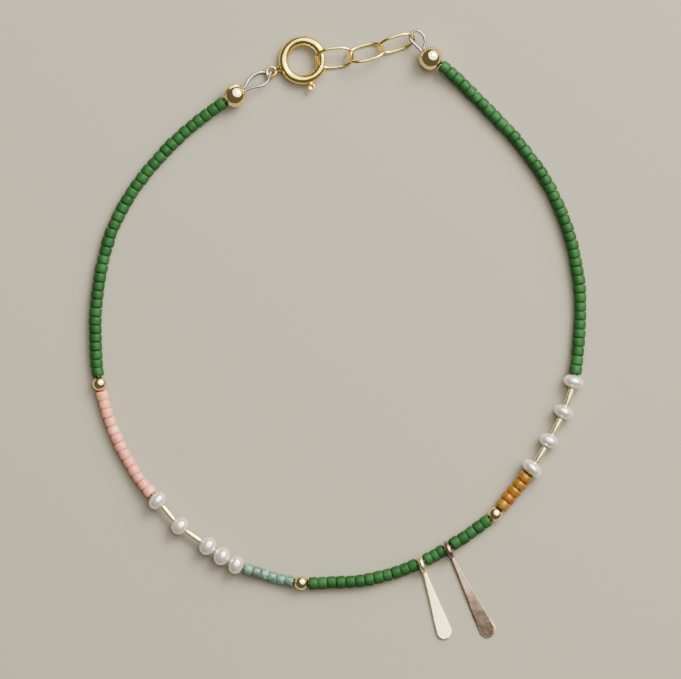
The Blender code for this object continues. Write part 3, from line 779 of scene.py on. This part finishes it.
def drilled_profile(length, diameter, hole, rings):
    """Closed section of a round drilled bead, with softened hole rims."""
    edge = asin((hole + 2 * HOLE_ROUNDING) / diameter)
    profile = []
    for i in range(rings):
        angle = edge + (pi - 2 * edge) * i / (rings - 1)
        profile.append((-length / 2 * cos(angle), diameter / 2 * sin(angle)))
    far = profile[-1][0]
    rim = [
        (far - HOLE_ROUNDING * inwards, hole / 2 + HOLE_ROUNDING * outwards)
        for inwards, outwards in HOLE_RIM
    ]
    return profile + rim + [(-along, radius) for along, radius in reversed(rim)]


def add_pearl(name):
    length, diameter = bead_size(name)
    chance = random.Random(name)
    shift = Vector([chance.uniform(0.0, PEARL_LUMP_RANGE) for _ in range(3)])
    phase = chance.uniform(0.0, PEARL_RIPPLE_PHASE)
    rows = lathe_rows(drilled_profile(length, diameter, BEAD_HOLE, PEARL_RINGS), PEARL_SIDES)
    for i, ring in enumerate(rows[:PEARL_RINGS]):
        # The unevenness dies away towards the drilled ends
        share = sin(pi * i / (PEARL_RINGS - 1))
        for k, point in enumerate(ring):
            away = point / MM
            lump = sum(depth * noise.noise(away * cells + shift) for depth, cells in PEARL_LUMPS)
            lump += PEARL_RIPPLE * sin(away.x * PEARL_RIPPLE_RATE + phase)
            ring[k] = point * (1.0 + (lump - PEARL_SHRINKAGE) * share)
    shell = Shell()
    shell.grid(rows, True, tone=chance.uniform(*PEARL_TONES))
    *_, lean = PEARLS[name]
    shell.place(bead_frame(name, lean))
    make_piece(name + "_nacre", shell, "pearl", "pearl", name)


def add_metal_bead(name, rows, paint, ending):
    shell = Shell()
    shell.grid(rows, True)
    shell.place(bead_frame(name))
    make_piece(name + ending, shell, paint, "gold", name)


def add_gold_bead(name):
    profile = drilled_profile(*bead_size(name), BEAD_HOLE, METAL_RINGS)
    add_metal_bead(name, lathe_rows(profile, METAL_SIDES), "gold", "_polished")


def add_gold_tube(name):
    length, diameter = bead_size(name)
    inner_end = length / 2 - TUBE_ROUNDING
    inner_radius = diameter / 2 - TUBE_ROUNDING
    quarter = [
        (inner_end + TUBE_ROUNDING * sin(angle), inner_radius + TUBE_ROUNDING * cos(angle))
        for angle in TUBE_CORNER
    ]
    quarter += [
        (length / 2, GOLD_TUBE_HOLE / 2 + TUBE_HOLE_ROUNDING),
        (length / 2 - TUBE_HOLE_ROUNDING, GOLD_TUBE_HOLE / 2),
    ]
    profile = [(-along, radius) for along, radius in reversed(quarter)] + quarter
    add_metal_bead(name, lathe_rows(profile, METAL_SIDES), "pale_gold_painted_highlight", "_polished")


# Crimp covers, closed along a seam from hole to hole. Angles are about the
# string, in degrees from the top towards the right of the way along it, and
# widths are in radians.
SEAM_ANGLES = {"crimp_cover_left": 41.0, "crimp_cover_right": 205.0}
SEAM_DEPTH = 0.16 * MM
SEAM_WIDTH = 0.045
SEAM_CROWDING = 1.7
SEAM_FADE = 0.3
LIP_HEIGHT = 0.035 * MM
LIP_WIDTH = 0.16
COVER_RINGS = 56
COVER_SIDES = 120


def add_crimp_cover(name):
    profile = drilled_profile(CRIMP_DIAMETER, CRIMP_DIAMETER, CRIMP_HOLE, COVER_RINGS)
    rows = []
    for i, (along, radius) in enumerate(profile):
        outside = i < COVER_RINGS
        ring = []
        for k in range(COVER_SIDES):
            share = 2 * (k + 0.5) / COVER_SIDES - 1
            # Columns crowd together at the seam
            away = pi * power(share, SEAM_CROWDING)
            reach = radius
            if outside:
                fade = sin(pi * i / COVER_RINGS) ** SEAM_FADE
                reach -= SEAM_DEPTH * exp(-(away / SEAM_WIDTH) ** 2) * fade
                if away > 0:
                    reach += LIP_HEIGHT * exp(-((away - SEAM_WIDTH) / LIP_WIDTH) ** 2)
            turn = away + radians(SEAM_ANGLES[name])
            ring.append(Vector((along, -reach * sin(turn), reach * cos(turn))))
        rows.append(ring)
    add_metal_bead(name, rows, "gold", "_folded")


# Beading wire

CORE_SIDES = 12
CORE_STEP = 0.5 * MM
LOOP_STEPS = 12
WIRE_SIDES = 36
WIRE_LOBES = 6
LOBE_DEPTH = 0.055
LAY_LENGTH = 1.6 * MM
# How far from the middle of its cover a loop begins
LOOP_START = CRIMP_DIAMETER / 5
# The right loop: shares of the way to its hold, and of its width to the left
RIGHT_LOOP = (
    (0.38, 0.1), (0.75, 0.08), (1.0, 0.0), (1.14, -0.38),
    (1.06, -0.69), (0.79, -0.84), (0.45, -0.78), (0.16, -0.51),
)


def twisted_section(radius):
    """Section of a coated cable whose strands show through as low lobes."""
    def section(travelled):
        turn = 2 * pi * travelled / LAY_LENGTH
        points = []
        for k in range(WIRE_SIDES):
            angle = 2 * pi * k / WIRE_SIDES
            dip = abs(sin(WIRE_LOBES / 2 * (angle - turn)))
            reach = radius * (1.0 - LOBE_DEPTH * (1.0 - dip) ** 2)
            points.append((reach * cos(angle), reach * sin(angle)))
        return points
    return section


def loop_path(crimp_name, heading, hold, rows):
    """Smooth line that leaves a crimp cover, rounds the hold and returns.

    Each row holds a share of the way to the hold, an offset to the left of
    that way and a height.
    """
    spacing = WIRE_DIAMETER / 2 + WIRE_CLEARANCE / 2
    crimp = string_point(middle_of(crimp_name))
    start, end = (PATH.at(at) for at in SPANS[crimp_name])
    axis = (end - start).normalized() * heading
    side = UP.cross(axis)
    mouth = crimp + axis * (CRIMP_DIAMETER / 2)
    way = Vector((hold.x - mouth.x, hold.y - mouth.y, 0.0))
    left = UP.cross(way.normalized())
    chosen = [crimp + axis * LOOP_START + side * spacing, mouth + side * spacing]
    for share, offset, level in rows:
        chosen.append(Vector((mouth.x, mouth.y, 0.0)) + way * share + left * offset)
        chosen[-1].z = level
    chosen += [mouth - side * spacing, crimp + axis * LOOP_START - side * spacing]
    return smooth_line(chosen, LOOP_STEPS, False)


def eye_place():
    angle = radians(EYE_ANGLE)
    return Vector((cos(angle), sin(angle), 0.0)) * EYE_REACH


def add_wire_loops():
    radius = WIRE_DIAMETER / 2
    eye = ring_frame() @ eye_place()
    crimp = string_point(middle_of("crimp_cover_left"))
    wide = LEFT_LOOP_WIDTH / 2
    rim = (EYE_DIAMETER - EYE_WIRE) / 2 / (eye.xy - crimp.xy).length
    under = eye.z - EYE_WIRE / 2 - WIRE_CLEARANCE - radius
    over = eye.z + EYE_WIRE / 2 + WIRE_CLEARANCE + radius
    middle = (crimp.z + eye.z) / 2
    # The left loop goes in under the wire of the eye and comes back over it
    left_rows = (
        (0.22, wide * 0.7, crimp.z * 0.88),
        (0.48, wide, middle * 0.75),
        (1.0 - rim * 2.6, wide * 0.8, under + radius * 0.5),
        (1.0 - rim * 1.5, wide * 0.4, under),
        (1.0 - rim * 0.7, wide * 0.12, under + radius * 0.2),
        (1.0, 0.0, eye.z),
        (1.0 - rim * 0.7, -wide * 0.15, over - radius * 0.2),
        (1.0 - rim * 1.5, -wide * 0.45, over),
        (1.0 - rim * 2.6, -wide * 0.85, over + radius * 0.2),
        (0.48, -wide * 0.9, crimp.z * 0.95),
        (0.22, -wide * 0.45, crimp.z),
    )
    hold = PATH.at(middle_of("right_junction"))
    level = link_height("chain_link_3")
    right_rows = [(share, RIGHT_LOOP_WIDTH * offset, level) for share, offset in RIGHT_LOOP]
    paths = {
        "wire_loop_left": loop_path("crimp_cover_left", -1.0, eye, left_rows),
        "wire_loop_right": loop_path("crimp_cover_right", 1.0, hold, right_rows),
    }
    for name, path in paths.items():
        shell = Shell()
        shell.tube(sweep_rows(path, twisted_section(radius)))
        make_piece(name + "_cable", shell, "beading_wire", "beading_wire", name)


def add_core():
    """The wire inside the beads, from one crimp cover to the other."""
    start = middle_of("crimp_cover_left")
    end = middle_of("crimp_cover_right")
    path = [string_point(at) for at in spread(start, end, CORE_STEP)]
    shell = Shell()
    shell.tube(sweep_rows(path, lambda travelled: circle(CORE_DIAMETER / 2, CORE_SIDES)))
    make_piece("beading_wire_core", shell, "wire_core", "beading_wire")


# Chain

LINK_STEPS = 112
LINK_SIDES = 20
JOIN_PLACE = 28
JOIN_DEPTH = 0.1
JOIN_WIDTH = 1.1


def add_link(name):
    half_length = (LINK_LENGTH - LINK_WIRE) / 2
    half_width = (LINK_WIDTH - LINK_WIRE) / 2
    outline = oblong(half_length, half_width, LINK_ROUNDNESS, LINK_STEPS)
    centres = [Vector((x, y, 0.0)) for x, y in outline]
    rows = []
    for i, centre in enumerate(centres):
        ahead = centres[(i + 1) % LINK_STEPS] - centres[i - 1]
        out = Vector((ahead.y, -ahead.x, 0.0)).normalized()
        # Shallow mark of the closed and soldered joint
        join = 1.0 - JOIN_DEPTH * exp(-((i - JOIN_PLACE) / JOIN_WIDTH) ** 2)
        rows.append([
            centre + out * across + Vector((0.0, 0.0, up))
            for across, up in circle(LINK_WIRE / 2 * join, LINK_SIDES)
        ])
    shell = Shell()
    shell.grid(rows, True)
    start, end = (PATH.at(at) for at in SPANS[name])
    start.z = end.z = link_height(name)
    shell.place(chord_frame(start, end) @ turned(LINK_ROLLS[name], "X"))
    make_piece(name + "_soldered", shell, "rich_gold", "gold", name)


# Spring ring

RING_SIDES = 48
SLOT_COLUMNS = 3
RING_STEP = 2.5
# Lips of the mouth: degrees from its edge, and shares of the rounding there
MOUTH_ROUNDING = 0.05 * MM
MOUTH_LIPS = (0.0, 0.35, 0.8, 1.4)
LIP_SHARES = (1.0, 0.45, 0.12, 0.0)
BORE_FLARE = 0.4
EYE_STEPS = 72
EYE_SIDES = 24
NECK_SIDES = 32
# The eye's neck: how far beyond the tube's middle it starts, how far it stays
# wide, and shares of its length and of its half width on the way to the eye
NECK_ROOT = 0.1 * MM
NECK_SHOULDER = 0.12 * MM
NECK_EDGE = 0.02 * MM
NECK_FLARE = 1.02
NECK_WAIST = ((0.2, 0.88), (0.42, 0.72), (0.62, 0.62), (0.82, 0.57))
NECK_END = 0.54


def add_spring_ring():
    tube = RING_TUBE_DIAMETER / 2
    bore = RING_BORE_DIAMETER / 2
    half_angle = degrees((KNOB_STEM_WIDTH / 2 + SLIDE_CLEARANCE) / RING_RADIUS)
    first, last = MOUTH_HIGH, 360.0 + MOUTH_LOW
    slot_low = 360.0 + KNOB_ANGLE - TRIGGER_TRAVEL - half_angle
    slot_high = 360.0 + KNOB_ANGLE + half_angle
    angles = [first + lip for lip in MOUTH_LIPS]
    angles += spread(first + MOUTH_LIPS[-1], slot_low, RING_STEP)[1:]
    low_row = len(angles) - 1
    angles += spread(slot_low, slot_high, RING_STEP)[1:]
    high_row = len(angles) - 1
    angles += spread(slot_high, last - MOUTH_LIPS[-1], RING_STEP)[1:]
    angles += [last - lip for lip in reversed(MOUTH_LIPS[:-1])]
    plain = [0.0] * (len(angles) - 2 * len(LIP_SHARES))
    rounded = [*LIP_SHARES, *plain, *reversed(LIP_SHARES)]
    outer_radii = [tube - MOUTH_ROUNDING * share for share in rounded]
    inner_radii = [bore + MOUTH_ROUNDING * BORE_FLARE * share for share in rounded]

    def in_slot(i, k):
        return low_row <= i < high_row and (k < SLOT_COLUMNS or k >= RING_SIDES - SLOT_COLUMNS)

    shell = Shell()
    outer = shell.grid(arc_rows(RING_RADIUS, angles, outer_radii, RING_SIDES), False, in_slot)
    inner = shell.grid(arc_rows(RING_RADIUS, angles, inner_radii, RING_SIDES), False, in_slot)

    def wall(i, k, j, n):
        """Quad through the tube's wall along one edge of its grid."""
        a, b = i * RING_SIDES + k, j * RING_SIDES + n
        shell.faces.append((outer + a, outer + b, inner + b, inner + a))

    for i in (0, len(angles) - 1):
        for k in range(RING_SIDES):
            wall(i, k, i, (k + 1) % RING_SIDES)
    for i in range(low_row, high_row):
        for k in (SLOT_COLUMNS, RING_SIDES - SLOT_COLUMNS):
            wall(i, k, i + 1, k)
    for i in (low_row, high_row):
        for k in range(-SLOT_COLUMNS, SLOT_COLUMNS):
            wall(i, k % RING_SIDES, i, (k + 1) % RING_SIDES)

    turns = [360.0 * i / EYE_STEPS for i in range(EYE_STEPS)]
    eye_radius = (EYE_DIAMETER - EYE_WIRE) / 2
    begin = shell.grid(arc_rows(eye_radius, turns, [EYE_WIRE / 2] * EYE_STEPS, EYE_SIDES), True)
    shell.place(Matrix.Translation(eye_place()), begin)

    # Soldered neck, waisted between the tube and the eye
    far = EYE_REACH - EYE_DIAMETER / 2 + EYE_WIRE / 2
    near = RING_OUTER_DIAMETER / 2
    reach = far - near
    half = NECK_DIAMETER / 2
    profile = [
        (RING_RADIUS + NECK_ROOT, half * NECK_FLARE),
        (near - NECK_SHOULDER, half * NECK_FLARE),
        (near - NECK_EDGE, half),
    ]
    profile += [(near + reach * share, half * width) for share, width in NECK_WAIST]
    profile.append((far, half * NECK_END))
    begin = shell.tube(lathe_rows(profile, NECK_SIDES))
    shell.place(turned(EYE_ANGLE, "Z"), begin)
    shell.place(ring_frame())
    make_piece("spring_ring_hollow", shell, "rich_gold", "gold", "spring_ring")


# Clasp trigger

BOLT_SIDES = 32
# Ends of the bolt, in degrees from its tip and from its tail. The tail's rows
# also hold shares of the bolt's radius, which is full from the last angle on.
TIP_ANGLES = (8.6, 7.5, 6.2, 4.7, 3.2, 1.8, 0.8, 0.2)
TAIL_SHAPE = ((0.0, 0.8), (0.3, 0.93))
TAIL_ANGLE = 1.0
STEM_STEP = 0.08 * MM
STEM_SIDES = 24
STEM_SQUARENESS = 0.6
STEM_SHORTFALL = 0.6
KNOB_SIDES = 40
# Dished side of the knob: shares of its half thickness and of its half width
KNOB_SHAPE = (
    (0.04, 0.34), (0.22, 0.36), (0.36, 0.46), (0.48, 0.66), (0.58, 0.86), (0.68, 0.98),
    (0.78, 1.0), (0.88, 0.9), (0.95, 0.68), (0.99, 0.36), (1.0, 0.0),
)


def add_trigger():
    """Bolt with a domed tip, and a dished thumb knob on a flat stem."""
    bolt = BOLT_DIAMETER / 2
    dome = TIP_ANGLES[0]
    body = spread(BOLT_TAIL + TAIL_ANGLE, BOLT_TIP - dome, RING_STEP)
    angles = [BOLT_TAIL + away for away, _ in TAIL_SHAPE] + body
    angles += [BOLT_TIP - away for away in TIP_ANGLES[1:]]
    radii = [bolt * share for _, share in TAIL_SHAPE] + [bolt] * len(body)
    radii += [bolt * sqrt(1.0 - ((dome - away) / dome) ** 2) for away in TIP_ANGLES[1:]]
    shell = Shell()
    shell.tube(arc_rows(RING_RADIUS, angles, radii, BOLT_SIDES))

    head = KNOB_WIDTH / 2
    middle = RING_OUTER_DIAMETER / 2 + SLIDE_CLEARANCE + head
    wide, thick = KNOB_STEM_WIDTH / 2, KNOB_STEM_THICKNESS / 2
    outline = [
        (power(y, STEM_SQUARENESS) * wide, power(z, STEM_SQUARENESS) * thick)
        for y, z in circle(1.0, STEM_SIDES)
    ]
    reaches = spread(RING_RADIUS, middle - head * STEM_SHORTFALL, STEM_STEP)
    begin = shell.tube([[Vector((reach, y, z)) for y, z in outline] for reach in reaches])
    half = KNOB_THICKNESS / 2
    profile = [(up * half, out * head) for out, up in KNOB_SHAPE]
    profile += [(-along, radius) for along, radius in reversed(profile[:-1])]
    knob = shell.tube(lathe_rows(profile, KNOB_SIDES))
    shell.place(Matrix.Translation((middle, 0.0, 0.0)) @ turned(-90.0, "Y"), knob)
    shell.place(turned(KNOB_ANGLE, "Z"), begin)
    shell.place(ring_frame())
    make_piece("clasp_trigger_sprung", shell, "rich_gold", "gold", "clasp_trigger", body="trigger")


# Paddle drops

BAIL_STEPS = 80
BAIL_SIDES = 32
CORNER_POINTS = 6
FACE_POINTS = 18
PADDLE_STEP = 0.09 * MM
ROOT_SHARE = 0.55
NECK_THICKENING = 0.18 * MM
NECK_ROUNDING = 0.09 * MM
TIP_STEPS = 26
LEAST_HALF_WIDTH = 0.01 * MM
# The most that the corners are rounded: shares of half width and thickness
MOST_ROUNDING = (0.96, 0.48)
# Hammered part of the thickness, and the marks: their share of the depth, and
# their cells in a millimetre across the paddle and along it
HAMMERED_FROM = 0.6
HAMMER_MARKS = ((1.0, 0.9, 0.7), (0.25, 2.6, 2.2))
# A highlight is painted on the paddle's edge from here on, as shares of the way to its end
RIM_HIGHLIGHT_FROM = 0.86
RIM_HIGHLIGHT_FULLY = 0.98
RIM_HIGHLIGHT_WIDTH = 0.15 * MM


def paddle_half_width(share, end_radius):
    """Half the paddle's width at a share of the way to its round end."""
    for (low, first), (high, second) in zip(PADDLE_SHAPE, PADDLE_SHAPE[1:]):
        if share <= high:
            widening = first + (second - first) * (share - low) / (high - low)
            break
    return NECK_WIDTH / 2 + (end_radius - NECK_WIDTH / 2) * widening


def paddle_section(half_width, thick, rounding):
    """Rounded rectangle that stands on z = 0, as (x, z) points."""
    points = []
    centres = (
        (half_width - rounding, thick - rounding, 0.0),
        (-half_width + rounding, thick - rounding, 90.0),
        (-half_width + rounding, rounding, 180.0),
        (half_width - rounding, rounding, 270.0),
    )
    for x, z, turn in centres:
        for k in range(CORNER_POINTS):
            angle = radians(turn + 90.0 * k / (CORNER_POINTS - 1))
            points.append((x + rounding * cos(angle), z + rounding * sin(angle)))
        if turn in (0.0, 180.0):
            flat = (half_width - rounding) * (1.0 if turn == 0.0 else -1.0)
            level = thick if turn == 0.0 else 0.0
            for k in range(1, FACE_POINTS):
                points.append((flat * (1.0 - 2.0 * k / FACE_POINTS), level))
    return points


def add_drop(name, paint, slot):
    """Closed bail round the string, and the paddle that hangs from it."""
    length, width, lean, hammering, neck_slope, end_slope = DROPS[name]
    middle = middle_of(name)
    start, end = PATH.at(middle - BAIL_ROOM / 2), PATH.at(middle + BAIL_ROOM / 2)
    placed = chord_frame(start, end, lean)
    centre = PATH.at(middle)
    centre.z = BAIL_DIAMETER / 2
    placed.translation = centre
    hang = BAIL_DIAMETER / 2 - BAIL_WIRE - WIRE_DIAMETER / 2 - BAIL_PLAY
    placed @= Matrix.Translation((0.0, -hang, 0.0))
    radius = (BAIL_DIAMETER - BAIL_WIRE) / 2
    shell = Shell()
    turns = [360.0 * i / BAIL_STEPS for i in range(BAIL_STEPS)]
    shell.grid(arc_rows(radius, turns, [BAIL_WIRE / 2] * BAIL_STEPS, BAIL_SIDES), True)
    shell.place(turned(90.0, "Y"))

    # Paddle: narrow and thick at the neck, wide and thin at the round end
    root = radius * ROOT_SHARE
    tip = length - BAIL_DIAMETER / 2
    end_radius = width / 2
    free = tip - end_radius - root
    ends = [sin(pi / 2 * i / TIP_STEPS) for i in range(1, TIP_STEPS + 1)]
    reaches = spread(0.0, free, PADDLE_STEP) + [free + end_radius * share for share in ends]
    floor = -BAIL_DIAMETER / 2
    rows = []
    tones = []
    for reach in reaches:
        beyond = max(reach - free, 0.0)
        share = min(reach / free, 1.0)
        half_width = paddle_half_width(share, end_radius)
        if beyond:
            half_width = sqrt(max(end_radius ** 2 - beyond ** 2, 0.0))
        to_tip = free + end_radius - reach
        thick = PADDLE_THICKNESS + NECK_THICKENING * (1.0 - share) ** 2
        lift = 0.0
        if to_tip < RIM_ROUNDING:
            lift = RIM_ROUNDING * (1.0 - sqrt(max(1.0 - (1.0 - to_tip / RIM_ROUNDING) ** 2, 0.0)))
            thick -= 2 * lift
        half_width = max(half_width, LEAST_HALF_WIDTH)
        face = neck_slope + (end_slope - neck_slope) * share
        high_side = copysign(1.0, face)
        slope = tan(radians(abs(face)))
        rounding = RIM_ROUNDING + NECK_ROUNDING * (1.0 - share) ** 2
        rounding = min(rounding, half_width * MOST_ROUNDING[0], thick * MOST_ROUNDING[1])
        # Painted highlight along the rim of the round end, carried by the tone
        painted_rim_highlight = min(max((share - RIM_HIGHLIGHT_FROM) / (RIM_HIGHLIGHT_FULLY - RIM_HIGHLIGHT_FROM), 0.0), 1.0)
        section = []
        for x, z in paddle_section(half_width, thick, rounding):
            if z > thick * HAMMERED_FROM:
                z += hammering * sum(
                    depth * noise.noise(Vector((x / MM * across, reach / MM * along, middle / MM)))
                    for depth, across, along in HAMMER_MARKS
                )
            z *= 1.0 - slope * (end_radius - high_side * x) / thick
            section.append(Vector((x, -(root + reach), floor + lift + z)))
            to_edge = end_radius - hypot(x, beyond) if beyond else half_width - abs(x)
            tones.append(PLAIN_TONE + (1.0 - PLAIN_TONE) * painted_rim_highlight * (to_edge < RIM_HIGHLIGHT_WIDTH))
        rows.append(section)
    begin = shell.tube(rows)
    shell.tones[begin:begin + len(tones)] = tones
    shell.place(placed)
    make_piece(name + "_hammered", shell, paint, slot, name)


for piece_name in STRINGING:
    if piece_name in RUNS:
        add_run(piece_name)
    elif piece_name in PEARLS:
        add_pearl(piece_name)
    elif piece_name.startswith("gold_bead"):
        add_gold_bead(piece_name)
    elif piece_name.startswith("gold_tube"):
        add_gold_tube(piece_name)
    elif piece_name.startswith("crimp"):
        add_crimp_cover(piece_name)
add_drop("drop_short", "pale_gold_painted_highlight", "gold")
add_drop("drop_long", "rose_gold", "rose_gold")
for link_name in LINK_ROLLS:
    add_link(link_name)
add_spring_ring()
add_trigger()
add_wire_loops()
add_core()

# Stage, light and camera

FLOOR_CORNERS = ((-1.5, -1.5, 0.0), (1.5, -1.5, 0.0), (1.5, 1.5, 0.0), (-1.5, 1.5, 0.0))
FLOOR_VALUES = {"Base Color": (0.262, 0.238, 0.176, 1.0), "Roughness": 0.9, "Specular IOR Level": 0.2}
WORLD_COLOUR = (0.9, 0.93, 1.0, 1.0)
WORLD_STRENGTH = 0.14
NEAREST_SEEN = 0.01
FARTHEST_SEEN = 10.0


def add_floor():
    mesh = bpy.data.meshes.new("floor")
    mesh.from_pydata(FLOOR_CORNERS, [], [(0, 1, 2, 3)])
    mesh.materials.append(Paint("floor", FLOOR_VALUES).material)
    floor = add_object("floor", mesh)


def add_light(name, energy, size, distance, azimuth, elevation, colour):
    """Round soft light that faces the middle of the loop, angles in degrees."""
    light = bpy.data.lights.new(name, "AREA")
    light.shape = "DISK"
    light.energy = energy
    light.size = size
    light.color = colour
    lamp = add_object(name, light)
    turn, rise = radians(azimuth), radians(elevation)
    way = Vector((cos(rise) * cos(turn), cos(rise) * sin(turn), sin(rise)))
    lamp.location = way * distance
    lamp.rotation_euler = way.to_track_quat("Z", "Y").to_euler()


def add_camera():
    camera = bpy.data.cameras.new("camera")
    camera.sensor_width = SENSOR_WIDTH
    camera.lens = SENSOR_WIDTH * (VIEW_HEIGHT - STRING_LEVEL) / VIEW_WIDTH
    camera.clip_start = NEAREST_SEEN
    camera.clip_end = FARTHEST_SEEN
    holder = add_object("camera", camera)
    holder.location = (*VIEW_CENTRE, VIEW_HEIGHT)
    bpy.context.scene.camera = holder


def set_world():
    world = bpy.data.worlds.new("studio")
    world.use_nodes = True
    background = world.node_tree.nodes["Background"]
    background.inputs["Color"].default_value = WORLD_COLOUR
    background.inputs["Strength"].default_value = WORLD_STRENGTH
    bpy.context.scene.world = world


add_floor()
add_light(
    "softbox", energy=14.5, size=1.08, distance=0.6, azimuth=48.0, elevation=54.0, colour=(1.0, 0.98, 0.95),
)
add_light(
    "key", energy=6.2, size=0.3, distance=0.56, azimuth=48.0, elevation=44.0, colour=(1.0, 0.98, 0.94),
)
add_camera()
set_world()
